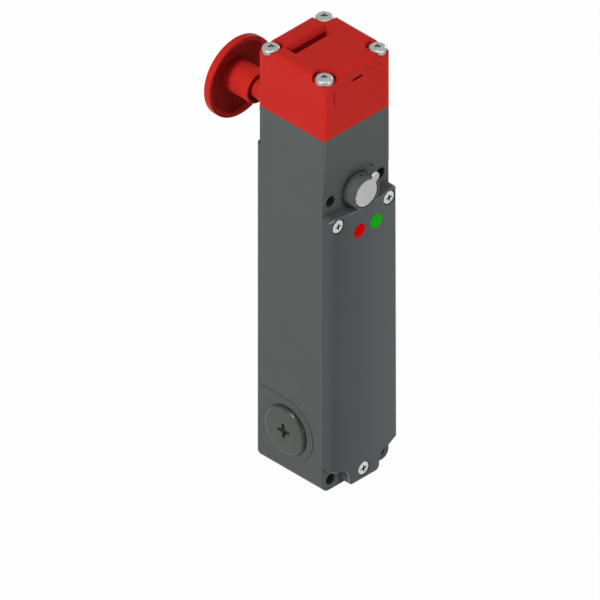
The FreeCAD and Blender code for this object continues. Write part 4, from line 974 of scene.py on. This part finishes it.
@dataclass
class Mouldings(Assembly):
    """The housing, the cover, the head casing and the blank, as copies with softened edges.

    Attributes:
        half: half of the housing's side.
        pad: distance from the middle past which an edge belongs to a plug pad.
        shortest: length from which an edge of the housing is rounded.
        ring_lip: depth behind the ring's face in which its edges are rounded.
        edge: round of the small outer edges.
        slack: how far from a face a point still belongs to it.
        notch: the release ring's gap for the cap's lobe: length, width and depth.
        notch_at: the gap's distance from the ring's axis.
        cover_round: round of the cover's solid.
        cover_edge: round of the cover's outline as it is shown.
        upright: distance from the middle past which the upright sides keep their round.
        lean: how far a face of the outline leans towards the light to get the painted highlight, at the
            least.
        foot: height under which the outline's left side gets the painted highlight too.
        holes: place across, height and radius of each opening in the cover, the screw seats first.
        seat: radius of the screw seats as they are shown.
        seat_rim: distance in front of the middle from which a seat's wall is drawn up to the face.
        margin: how far outside a hole a point still belongs to it.
        funnel_low: height above which the funnel's end starts.
        funnel_half: half of the funnel's width.
        funnel_end: nearest and farthest place of the funnel's end along X.
        funnel_lean: how far that end looks towards -X and upwards, at the least.
        blank_half: half of the blank's width.
        blank_low: height of the blank's lower edge.
        blank_gap: how much wider the gap at the blank's left is than the others.
        blank_drop: how far the blank's lower edge comes down to close its gap.
        blank_edge: round of the blank's edges.
        grip_half: half of the width of the notch in the blank.
        grip_low: height above which that notch lies.
        grip_skin: depth behind the blank's face from which that notch starts.
    """

    half: float = 20.0
    pad: float = 20.3
    shortest: float = 0.3
    ring_lip: float = 0.2
    edge: float = 0.2
    slack: float = 0.1
    notch: Point = (3.0, 4.4, 1.05)
    notch_at: float = 7.2
    cover_round: float = 2.0
    cover_edge: float = 0.4
    upright: float = 17.0
    lean: float = 0.25
    foot: float = 14.0
    holes: tuple[Point, ...] = (*((*at, 3.9) for at in SEATS_AT), *((*at, 3.4) for at in LAMPS_AT))
    seat: float = 3.5
    seat_rim: float = 23.0
    margin: float = 0.15
    funnel_low: float = 205.0
    funnel_half: float = 11.5
    funnel_end: Pair = (5.0, 14.5)
    funnel_lean: Pair = (0.3, 0.2)
    blank_half: float = 14.2
    blank_low: float = 199.35
    blank_gap: float = 0.42
    blank_drop: float = 0.09
    blank_edge: float = 0.12
    grip_half: float = 3.05
    grip_low: float = 207.0
    grip_skin: float = 0.05

    def build(self) -> None:
        """Make all four mouldings."""
        self.keep("housing", self.housing(), Finish.HOUSING)
        self.keep("cover", self.cover(), Finish.COVER, Finish.COVER_EDGE)
        self.keep("head_casing", self.head(), Finish.HEAD, Finish.FUNNEL)
        self.keep("front_slot_blank", self.blank(), Finish.HEAD, Finish.NOTCH)

    def keep(self, node: str, shape: Mesh, finish: Finish, second: Finish | None = None) -> None:
        """Finish a moulding and let its flat faces stay flat beside their rounds.

        Args:
            node: the solid that it stands for.
            shape: its bmesh, used up here.
            finish: its finish.
            second: the finish of its marked faces.
        """
        piece = self.fit(f"{node}_moulded", shape, node, finish, second)
        even = piece.modifiers.new("even_faces", "WEIGHTED_NORMAL")
        even.keep_sharp = True
        even.weight = 100

    def housing(self) -> Mesh:
        """The housing: its pads and ring rounded, and the ring notched for the cap's lobe."""
        shape = carved(self.solid("housing"), [self.ring_gap()])
        return softened(shape, self.on_shell, self.edge)

    def ring_gap(self) -> Mesh:
        """The tool that opens the ring at the upper right.

        Returns:
            The closed tool.
        """
        length, width, depth = self.notch
        shape = turned(moved(block(length, width, 2 * depth), (self.notch_at, 0, 0)), 45)
        return Spot((0, -RING_FACE, RELEASE_HEIGHT), (0, -1, 0)).settle(shape)

    def on_shell(self, edge: bmesh.types.BMEdge) -> bool:
        """Whether an edge of the housing lies on its plug pads or on the front of its ring.

        Args:
            edge: the edge.

        Returns:
            True where it does.
        """
        middle = (edge.verts[0].co + edge.verts[1].co) / 2 / MM
        there = abs(middle.x) > self.pad or middle.y < self.ring_lip - RING_FACE
        return there and edge.calc_length() > self.shortest * MM

    def cover(self) -> Mesh:
        """The front cover, its screw seats and lamp holes rounded.

        Returns:
            The shape, the lit part of its round marked for the painted highlight.
        """
        front = (self.slack - COVER_FACE) * MM
        shape = self.drawn_in(self.tightened(self.solid("cover")))
        softened(shape, lambda edge: all(vert.co.y < front for vert in edge.verts), self.edge)
        return marked(shape, self.on_painted_highlight)

    def on_painted_highlight(self, face: bmesh.types.BMFace) -> bool:
        """Whether a face lies on the part of the outline's round that catches the light and gets the
        painted highlight.

        Args:
            face: the face.

        Returns:
            True where it does.
        """
        middle = face.calc_center_median() / MM
        lit = face.normal.z > self.lean or (face.normal.x < -self.lean and middle.z < self.foot)
        return lit and on_front_round(face) and not self.by_hole(middle)

    def drawn_in(self, shape: Mesh) -> Mesh:
        """Make the three screw seats as tight as they are shown, with their rims up to the face.

        Args:
            shape: the cover.

        Returns:
            The same shape.
        """
        for vert in shape.verts:
            spot = vert.co / MM
            for x, z, radius in self.holes[:len(SEATS_AT)]:
                away = Vector((spot.x - x, spot.z - z))
                on_wall = self.seat < away.length < radius + self.margin
                if spot.y > self.slack - SEAT_FLOOR or not on_wall:
                    continue
                away *= self.seat / radius
                face = -COVER_FACE if spot.y < -self.seat_rim else spot.y
                vert.co = Vector((x + away.x, face, z + away.y)) * MM
        return shape

    def tightened(self, shape: Mesh) -> Mesh:
        """Make the round of the cover's outline tight, but for the two upright sides.

        Each point of the round goes outwards and forwards, by as much as a smaller round's own
        point lies nearer to the corner.

        Args:
            shape: the cover.

        Returns:
            The same shape.
        """
        behind = -0.005
        backwards = 0.1
        shape.normal_update()
        steps = []
        for vert in shape.verts:
            spot = vert.co / MM
            lean = (self.cover_round - COVER_FACE - spot.y) / self.cover_round
            if lean < behind or vert.normal.y > backwards or self.by_hole(spot):
                continue
            out = Vector((vert.normal.x, 0, vert.normal.z)).normalized()
            share = 1.0 if abs(spot.x) < self.upright else 1 - abs(out.x) ** 3
            reach = (self.cover_round - self.cover_edge) * share
            rise = min(max(lean, 0.0), 1.0)
            forwards = Vector((0, (rise - 1) * reach, 0))
            steps.append((vert, out * (1 - math.sqrt(1 - rise * rise)) * reach + forwards))
        for vert, step in steps:
            vert.co += step * MM
        return shape

    def by_hole(self, spot: Vector) -> bool:
        """Whether a point belongs to a screw seat or a lamp hole."""
        return any(math.hypot(spot.x - x, spot.z - z) < radius + self.margin
                   for x, z, radius in self.holes)

    def head(self) -> Mesh:
        """The head casing, the rims of its screw seats and of its funnel rounded.

        Returns:
            The shape, its funnel's end marked for the painted shade.
        """
        low = (HEAD_TOP + self.slack) * MM
        shape = self.solid("head_casing")
        softened(shape, lambda edge: all(vert.co.z > low for vert in edge.verts), self.edge)
        return marked(shape, self.in_funnel_painted_shade)

    def in_funnel_painted_shade(self, face: bmesh.types.BMFace) -> bool:
        """Whether a face is the funnel's end on the +X side, which gets the painted shade.

        Args:
            face: the face.

        Returns:
            True where it is.
        """
        middle = face.calc_center_median() / MM
        near, far = self.funnel_end
        aside, up = self.funnel_lean
        inside = middle.z > self.funnel_low and abs(middle.y) < self.funnel_half and near < middle.x < far
        return inside and face.normal.x < -aside and face.normal.z > up and face.calc_area() > MM * MM

    def blank(self) -> Mesh:
        """The blank in the front slot, with its gap at the left and none at the bottom.

        Returns:
            The shape, its notch marked for the painted shade.
        """
        shape = self.solid("front_slot_blank")
        front = SAME_POINT - self.half * MM
        left = -self.blank_half * MM
        low = self.blank_low * MM
        for vert in shape.verts:
            if vert.co.x < left + SAME_POINT:
                vert.co.x += self.blank_gap * MM
            if vert.co.z < low + SAME_POINT:
                vert.co.z -= self.blank_drop * MM
        softened(shape, lambda edge: all(vert.co.y < front and vert.co.z > low for vert in edge.verts),
                 self.blank_edge)
        return marked(shape, self.in_notch_painted_shade)

    def in_notch_painted_shade(self, face: bmesh.types.BMFace) -> bool:
        """Whether a face is a wall or the floor of the blank's notch, which gets the painted shade."""
        x, y, z = face.calc_center_median() / MM
        return abs(x) < self.grip_half and z > self.grip_low and y > self.grip_skin - self.half


@dataclass
class PanScrews(Assembly):
    """A set of equal pan-head cross-recess screws.

    Attributes:
        node: the solids that the set stands for.
        radius: head radius.
        rise: head height.
        shank: thread radius.
        length: length below the seat.
        pitch: thread pitch.
        edge: round of the head's upper edge.
        recess: the driver recess.
        finish: the screws' finish.
        spots: places of the seats.
        crown: corners of the head's top, as shares of its radius and height.
        low_edge: round of the head's lower edge.
        root: radius at the thread's root, as a share of the shank's.
        turn: where the root and the crest of a turn lie, as shares of the pitch.
        tip: radius of the tip, as a share of the root's.
        turns: most turns of thread that are shown.
    """

    node: str = "head_screws"
    radius: float = 4.0
    rise: float = 2.5
    shank: float = 1.95
    length: float = 38.8
    pitch: float = 0.7
    edge: float = 0.95
    recess: Cross = Cross(reach=1.65, width=0.62, depth=0.6, flare=3.3, roll=45.0)
    finish: Finish = Finish.SCREW
    spots: list[Spot] = field(default_factory=list)
    crown: tuple[Pair, ...] = ((0.0, 1.0), (0.55, 0.985), (1.0, 0.94))
    low_edge: float = 0.12
    root: float = 0.84
    turn: Pair = (0.3, 0.9)
    tip: float = 0.8
    turns: int = 12

    def build(self) -> None:
        """Make the screws and put them in one piece."""
        screws = joined([spot.settle(self.screw()) for spot in self.spots])
        self.fit(f"{self.node}_turned", screws, self.node, self.finish, Finish.RECESS)

    def screw(self) -> Mesh:
        """One screw on the Z axis with its seat at zero.

        Returns:
            The closed shape, its recess walls marked for the painted shade.
        """
        *top, rim = [(self.radius * out, self.rise * up) for out, up in self.crown]
        head = [*((*corner, 0) for corner in top), (*rim, self.edge), (self.radius, 0, self.low_edge),
                (self.shank, 0, 0)]
        shape = carved(spun(head + self.thread(), fine=7), self.recess.tools(self.rise))
        return self.recess.mark_painted_shade(shape, self.rise)

    def thread(self) -> list[Point]:
        """The outline of the thread, from the seat down to the tip.

        Returns:
            Its corners, as spun takes them.
        """
        turns = min(int(self.length / self.pitch) - 2, self.turns)
        start = self.length - (turns + 1) * self.pitch
        root = self.shank * self.root
        outline = [(self.shank, -start, 0)]
        for count in range(turns):
            low = start + count * self.pitch
            valley, crest = [-low - self.pitch * share for share in self.turn]
            outline += [(root, valley, 0), (self.shank, crest, 0)]
        return outline + [(root * self.tip, -self.length, 0), (0, -self.length, 0)]


@dataclass
class EntryPlugs(Assembly):
    """The two screwed plugs of the side entries.

    Attributes:
        radius: head radius.
        rise: head height.
        edge: round of the head's edge.
        low_edge: round of the head's lower edge.
        recess: the driver recess.
        seal: outer radius, inner radius and depth of the seal's groove.
        thread: thread radius.
        tooth: depth of the thread.
        pitch: thread pitch.
        lead: length below the seat at which the first turn starts.
        valley: length from a turn's crest down to its root.
        turns: turns of thread.
        land: length of the plain end.
        shank: length of the thread.
        bore: radius of the hollow.
        hollow: rounds of the hollow's mouth and floor.
        floor: depth from the seat to the hollow's floor.
        reach: distance of the seat from the middle.
        at: the entry's place across and up.
        steep: how far outwards a face of the rim with painted shade looks, at the most.
        shade: direction that the side of the rim with painted shade looks in, along Y and Z.
        shade_lean: how far a face with painted shade looks that way, at the least.
    """

    radius: float = 12.0
    rise: float = 2.0
    edge: float = 1.75
    low_edge: float = 0.1
    recess: Cross = Cross(reach=3.65, width=1.75, depth=2.2, flare=2.0, roll=4.0)
    seal: Point = (10.82, 9.48, 1.1)
    thread: float = 9.09
    tooth: float = 0.6
    pitch: float = 1.45
    lead: float = 0.6
    valley: float = 0.72
    turns: int = 5
    land: float = 0.1
    shank: float = 8.0
    bore: float = 7.0
    hollow: Pair = (0.2, 0.4)
    floor: float = 2.0
    reach: float = 20.35
    at: Pair = (2.3, 23.3)
    steep: float = 0.8
    shade: Pair = (-0.6, 0.8)
    shade_lean: float = 0.2

    def build(self) -> None:
        """Make both plugs."""
        for name, sign in (("left_entry_plug", -1), ("right_entry_plug", 1)):
            spot = Spot((sign * self.reach, *self.at), (sign, 0, 0), (0, 0, 1))
            shape = marked(spot.settle(self.plug()), self.in_painted_shade)
            self.fit(f"{name}_turned", shape, name, Finish.PLUG, Finish.PLUG_RIM)

    def in_painted_shade(self, face: bmesh.types.BMFace) -> bool:
        """Whether a face is on the steep part of the head's rim that looks up and forwards, which gets the
        painted shade.

        Args:
            face: the face.

        Returns:
            True where it is.
        """
        middle = face.calc_center_median() / MM
        away = (middle.yz - Vector(self.at)).length
        lean = face.normal.yz.dot(Vector(self.shade))
        on_rim = away > self.radius - self.edge and abs(face.normal.x) < self.steep
        return on_rim and lean > self.shade_lean

    def plug(self) -> Mesh:
        """One plug on the Z axis with its seat at zero.

        Returns:
            The closed shape.
        """
        outer, inner, deep = self.seal
        outline = [(0, self.rise, 0), (self.radius, self.rise, self.edge), (self.radius, 0, self.low_edge),
                   (outer, 0, 0), (outer, deep, 0), (inner, deep, 0), (inner, 0, 0), (self.thread, 0, 0)]
        for turn in range(self.turns):
            low = self.lead + turn * self.pitch
            outline += [(self.thread, -low, 0), (self.thread - self.tooth, -low - self.valley, 0)]
        mouth, bottom = self.hollow
        outline += [(self.thread, self.land - self.shank, 0), (self.thread, -self.shank, 0),
                    (self.bore, -self.shank, mouth), (self.bore, -self.floor, bottom),
                    (0, -self.floor, 0)]
        return carved(spun(outline, steps=128, fine=8), self.recess.tools(self.rise))


@dataclass
class Lamps(Assembly):
    """The two indicator lenses in the cover.

    Attributes:
        radius: radius of the part that shows.
        dome: corners of the dome inside that radius, as radius, height and rounding.
        deep: depth of the flange's front behind the cover's face.
        flange: radius behind the cover.
        back: depth of the flange's back.
        edge: round of the edges.
    """

    radius: float = 3.4
    dome: tuple[Point, ...] = ((0, 0.32, 0), (1.6, 0.29, 0), (2.7, 0.2, 0))
    deep: float = 2.52
    flange: float = 3.9
    back: float = 3.5
    edge: float = 0.1

    def build(self) -> None:
        """Make both lenses."""
        lenses = (("red_lens", Finish.RED_LENS), ("green_lens", Finish.GREEN_LENS))
        for (node, finish), (across, height) in zip(lenses, LAMPS_AT):
            spot = Spot((across, -COVER_FACE, height), (0, -1, 0))
            self.fit(f"{node}_dome", spot.settle(self.lens()), node, finish)

    def lens(self) -> Mesh:
        """One lens on the Z axis, with the cover's face at zero."""
        return spun([*self.dome, (self.radius, 0.0, self.edge), (self.radius, -self.deep, 0),
                     (self.flange, -self.deep, 0), (self.flange, -self.back, self.edge),
                     (0, -self.back, 0)])


@dataclass
class ReleaseCap(Assembly):
    """The snap-in cap of the auxiliary release with its pull lobe.

    Attributes:
        radius: cap radius.
        thick: thickness of the plate.
        plug: depth of the part inside the ring.
        plug_edge: round of that part's end.
        lobe: lobe radius.
        reach: lobe's distance from the middle.
        neck: half of the neck's width.
        edge: round of the upper edges.
        lean: how far a face of that round leans to the upper left to get the painted highlight, at the
            least.
    """

    radius: float = 6.4
    thick: float = 0.95
    plug: float = 1.6
    plug_edge: float = 0.2
    lobe: float = 2.2
    reach: float = 7.95
    neck: float = 2.0
    edge: float = 0.4
    lean: float = 0.1

    def build(self) -> None:
        """Make the cap: disc and lobe drawn as one keyhole outline, and the part inside the ring."""
        spot = Spot((0, -RING_FACE, RELEASE_HEIGHT), (0, -1, 0))
        low = spun([(0, -self.thick, 0), (self.radius, -self.thick, 0),
                    (self.radius, -self.plug, self.plug_edge), (0, -self.plug, 0)])
        cap = marked(spot.settle(joined([self.plate(), low])), self.painted_highlight_edge)
        self.fit("release_cap_moulded", cap, "release_cap", Finish.CAP, Finish.CAP_EDGE, "cap")

    def painted_highlight_edge(self, face: bmesh.types.BMFace) -> bool:
        """Whether a face is on the upper left of the plate's rounded edge, which gets the painted
        highlight.
        """
        return on_front_round(face) and face.normal.z - face.normal.x > self.lean

    def plate(self) -> Mesh:
        """The keyhole plate on the Z axis, its face at zero and its lobe at the upper right.

        Returns:
            The closed shape.
        """
        shape = bmesh.new()
        gate = self.neck * MM
        reach = self.reach * MM
        disc = bmesh.ops.create_circle(shape, segments=96, radius=self.radius * MM)["verts"]
        lobe = bmesh.ops.create_circle(shape, segments=48, radius=self.lobe * MM)["verts"]
        bmesh.ops.translate(shape, vec=(reach, 0, 0), verts=lobe)
        spare = [vert for vert in disc if vert.co.x > 0 and abs(vert.co.y) < gate]
        spare += [vert for vert in lobe if vert.co.x < reach and abs(vert.co.y) < gate]
        bmesh.ops.delete(shape, geom=spare, context="VERTS")
        for side in (-1, 1):
            shape.edges.new([vert for vert in shape.verts
                             if vert.co.y * side > 0 and len(vert.link_edges) == 1])
        bmesh.ops.contextual_create(shape, geom=shape.edges[:])
        low = bmesh.ops.extrude_face_region(shape, geom=shape.faces[:])["geom"]
        bmesh.ops.translate(shape, vec=(0, 0, -self.thick * MM),
                            verts=[item for item in low if isinstance(item, bmesh.types.BMVert)])
        closed(shape)
        softened(shape, lambda edge: all(vert.co.z > -SAME_POINT for vert in edge.verts), self.edge)
        return turned(shape, 45)


@dataclass
class EscapeActuator(Assembly):
    """The mushroom button with its stem and bush on the back.

    The outlines hold radius, distance behind the middle and rounding.

    Attributes:
        height: height of the stem's axis.
        button: outline of the button, its crown outwards.
        stem: outline of the stem.
        bush: outline of the bush, with the groove of its seal.
        dish: nearest and farthest place of the button's hollow side from the axis.
        dish_deep: nearest and farthest place of the hollow side behind the middle.
    """

    height: float = 172.9
    button: tuple[Point, ...] = (
        (0, 57.0, 0), (3.2, 56.94, 0), (6.4, 56.7, 0), (9.6, 56.25, 0), (12.8, 55.6, 0), (15.8, 54.9, 0),
        (18.5, 53.9, 0.3), (19.2, 53.3, 0.3), (19.2, 50.2, 0.2), (18.9, 50.0, 0.1), (17.3, 50.0, 0.3),
        (16.7, 51.7, 0.3), (8.0, 53.6, 0.1), (7.55, 53.4, 0.1), (7.55, 39.0, 0.3), (6.4, 39.0, 0.2),
        (6.4, 49.0, 0), (4.82, 49.0, 0), (4.82, 52.0, 0), (0, 52.0, 0))
    stem: tuple[Point, ...] = ((0, 51.98, 0), (4.8, 51.98, 0), (4.8, 14.5, 0.4), (0, 14.5, 0))
    bush: tuple[Point, ...] = (
        (4.85, 29.0, 0.3), (10.5, 29.0, 0.8), (10.5, 20.0, 0), (7.0, 20.0, 0), (7.0, 17.0, 0.2),
        (4.85, 17.0, 0.2), (4.85, 26.5, 0), (6.2, 26.5, 0), (6.2, 28.0, 0), (4.85, 28.0, 0),
        (4.85, 29.0, 0))
    dish: Pair = (7.55, 16.9)
    dish_deep: Pair = (51.0, 53.7)

    def build(self) -> None:
        """Make the button, the stem and the bush."""
        spot = Spot((0, 0, self.height), (0, 1, 0))
        button = marked(spot.settle(spun(self.button, steps=144)), self.in_dish_painted_shade)
        self.fit("escape_mushroom", button, "escape_button", Finish.BUTTON, Finish.DISH, "escape")
        stem = spot.settle(spun(self.stem))
        self.fit("escape_shaft", stem, "escape_stem", Finish.BUTTON, body="escape")
        bush = spot.settle(spun(self.bush, steps=112))
        self.fit("escape_collar", bush, "escape_bush", Finish.HOUSING)

    def in_dish_painted_shade(self, face: bmesh.types.BMFace) -> bool:
        """Whether a face is on the hollow side of the button, between the hub and the rim, which gets the
        painted shade.

        Args:
            face: the face.

        Returns:
            True where it is.
        """
        middle = face.calc_center_median() / MM
        away = math.hypot(middle.x, middle.z - self.height)
        inside = self.dish[0] < away < self.dish[1] and self.dish_deep[0] < middle.y < self.dish_deep[1]
        return inside and face.normal.y < -0.5


@dataclass
class LockSpring(Assembly):
    """The lock's return spring, kept as its solid with a mesh of its own; the real one shortens as the
    plunger comes down.

    Attributes:
        foot: the fixed end, in millimetres; not used.
        free: the spring's length at rest; not used.
        travel: how far the plunger comes down; not used.
    """

    foot: Point = (-3.3, 0.0, 104.1)
    free: float = 16.77
    travel: float = 4.1

    def build(self) -> None:
        """Make the spring."""
        piece = self.fit("lock_spring_wire", self.solid("lock_spring"), "lock_spring", Finish.SPRING)
        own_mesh(piece)


# The studio


@dataclass
class Studio:
    """Floor, lamps, world and camera.

    Attributes:
        aim: the point at the frame's centre, in millimetres.
        width: millimetres across the frame.
        distance: camera distance in metres.
        depth: metres that the camera sees.
        floor_half: half of the floor's side in metres.
        floor_drop: millimetres from the object's underside down to the floor.
        floor_tone: share of the light that the floor throws back.
        glow: share of plain white in what the camera sees of the floor.
        sky: strength of the even light all round.
        middle: the point that the lamps face, in metres.
        lights: each lamp's name, place, side in metres and watts: the main one at the left, one in
            front, one above and one behind the right side.
    """

    aim: Point = (-7.315, 7.315, 81.7)
    width: float = 255.4
    distance: float = 2.0
    depth: float = 20.0
    floor_half: float = 6.0
    floor_drop: float = 0.05
    floor_tone: float = 0.86
    glow: float = 0.97
    sky: float = 0.15
    middle: Point = (0, 0, 0.11)
    lights: tuple[tuple[str, Point, float, float], ...] = (
        ("left_lamp", (-2.25, 0.08, 1.41), 0.6, 40.2), ("front_lamp", (0.38, -2.4, 0.58), 0.6, 19.5),
        ("top_lamp", (-0.15, -0.25, 2.6), 0.7, 12.5), ("right_lamp", (2.3, 0.55, 1.05), 0.6, 11.0))

    def build(self) -> None:
        """Make everything the object stands in."""
        self.floor()
        self.world()
        self.lamps()
        self.camera()

    def floor(self) -> None:
        """A wide pale floor that keeps the shadow."""
        shape = bmesh.new()
        bmesh.ops.create_grid(shape, x_segments=1, y_segments=1, size=self.floor_half)
        made = emit("studio_floor", moved(shape, (0, 0, -self.floor_drop)))
        g = Graph("floor_paint")
        paint = g.node("ShaderNodeBsdfDiffuse", Color=(self.floor_tone,) * 3)
        white = g.node("ShaderNodeEmission", Color=(1.0, 1.0, 1.0), Strength=1.0)
        self.show(g.tree, paint, white, self.glow, "ShaderNodeOutputMaterial")
        made.data.materials.append(g.material)

    def world(self) -> None:
        """A soft even sky, plain white where it is seen."""
        world = bpy.data.worlds.new("studio_sky")
        bpy.context.scene.world = world
        world.use_nodes = True
        world.node_tree.nodes.clear()
        skies = [world.node_tree.nodes.new("ShaderNodeBackground") for _ in range(2)]
        for sky, strength in zip(skies, (self.sky, 1.0)):
            sky.inputs["Color"].default_value = (1.0, 1.0, 1.0, 1.0)
            sky.inputs["Strength"].default_value = strength
        self.show(world.node_tree, *skies, 1.0, "ShaderNodeOutputWorld")

    def show(self, tree: bpy.types.NodeTree, lit: bpy.types.Node, white: bpy.types.Node, share: float,
             out: str) -> None:
        """Show white to the camera, in gloss and through glass, and another shader to the light.

        Args:
            tree: the nodes.
            lit: the shader that the light meets.
            white: the shader that is seen.
            share: share of white in what is seen.
            out: type of the output node.
        """
        path = tree.nodes.new("ShaderNodeLightPath")
        seen = path.outputs["Is Camera Ray"]
        for ray in ("Is Glossy Ray", "Is Transmission Ray"):
            either = tree.nodes.new("ShaderNodeMath")
            either.operation = "MAXIMUM"
            tree.links.new(seen, either.inputs[0])
            tree.links.new(path.outputs[ray], either.inputs[1])
            seen = either.outputs[0]
        part = tree.nodes.new("ShaderNodeMath")
        part.operation = "MULTIPLY"
        part.inputs[1].default_value = share
        tree.links.new(seen, part.inputs[0])
        blend = tree.nodes.new("ShaderNodeMixShader")
        for socket, source in zip(blend.inputs, (part, lit, white)):
            tree.links.new(source.outputs[0], socket)
        tree.links.new(blend.outputs[0], tree.nodes.new(out).inputs["Surface"])

    def aimed(self, made: bpy.types.Object, spot: Vector, way: Vector) -> None:
        """Put a lamp or the camera at a spot and turn it to look one way.

        Args:
            made: the object.
            spot: its place in metres.
            way: the direction that it looks in.
        """
        made.location = spot
        made.rotation_mode = "QUATERNION"
        made.rotation_quaternion = way.to_track_quat("-Z", "Y")

    def lamps(self) -> None:
        """Square soft lamps that face the middle of the object."""
        for name, spot, size, power in self.lights:
            data = bpy.data.lights.new(name, "AREA")
            data.size = size
            data.energy = power
            self.aimed(placed(name, data), Vector(spot), Vector(self.middle) - Vector(spot))

    def camera(self) -> None:
        """The isometric camera of the picture."""
        data = bpy.data.cameras.new("camera")
        data.type = "ORTHO"
        data.ortho_scale = self.width * MM
        data.clip_end = self.depth
        made = placed("camera", data)
        back = Vector((-1, -1, 1)).normalized()
        self.aimed(made, Vector(self.aim) * MM + back * self.distance, -back)
        bpy.context.scene.camera = made


def assemblies(frame: dict, paints: Paints) -> list[Assembly]:
    """Every group of detailed pieces, in the order in which they are made.

    Args:
        frame: the loaded part.
        paints: the finishes.

    Returns:
        The groups.
    """
    corner = 16.0
    tops = [Spot((corner * a, corner * b, HEAD_TOP)) for a in (-1, 1) for b in (-1, 1)]
    fronts = [Spot((x, -SEAT_FLOOR, z), (0, -1, 0)) for x, z in SEATS_AT]
    return [
        Mouldings(frame, paints),
        PanScrews(frame, paints, spots=tops),
        PanScrews(frame, paints, "cover_screws", radius=3.2, rise=1.2, shank=1.6, length=8.0, pitch=0.6,
                  edge=0.35, recess=Cross(reach=1.7, width=0.7, depth=0.8, flare=2.6, roll=4.0),
                  finish=Finish.COVER_SCREW, spots=fronts),
        EntryPlugs(frame, paints),
        Lamps(frame, paints),
        ReleaseCap(frame, paints),
        EscapeActuator(frame, paints),
        LockSpring(frame, paints),
    ]


def main() -> None:
    """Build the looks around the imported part."""
    logging.basicConfig(level=logging.INFO, format="%(name)s: %(message)s")
    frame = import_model()
    paints = Paints()
    for node, finish in NODE_FINISH.items():
        paints.coat(frame["nodes"][node], finish)
        LOG.info("%s: solid, %s", node, finish.name.lower())
    for group in assemblies(frame, paints):
        group.build()
    bpy.context.scene.view_settings.view_transform = "Standard"
    Studio().build()


if __name__ == "__main__":
    main()
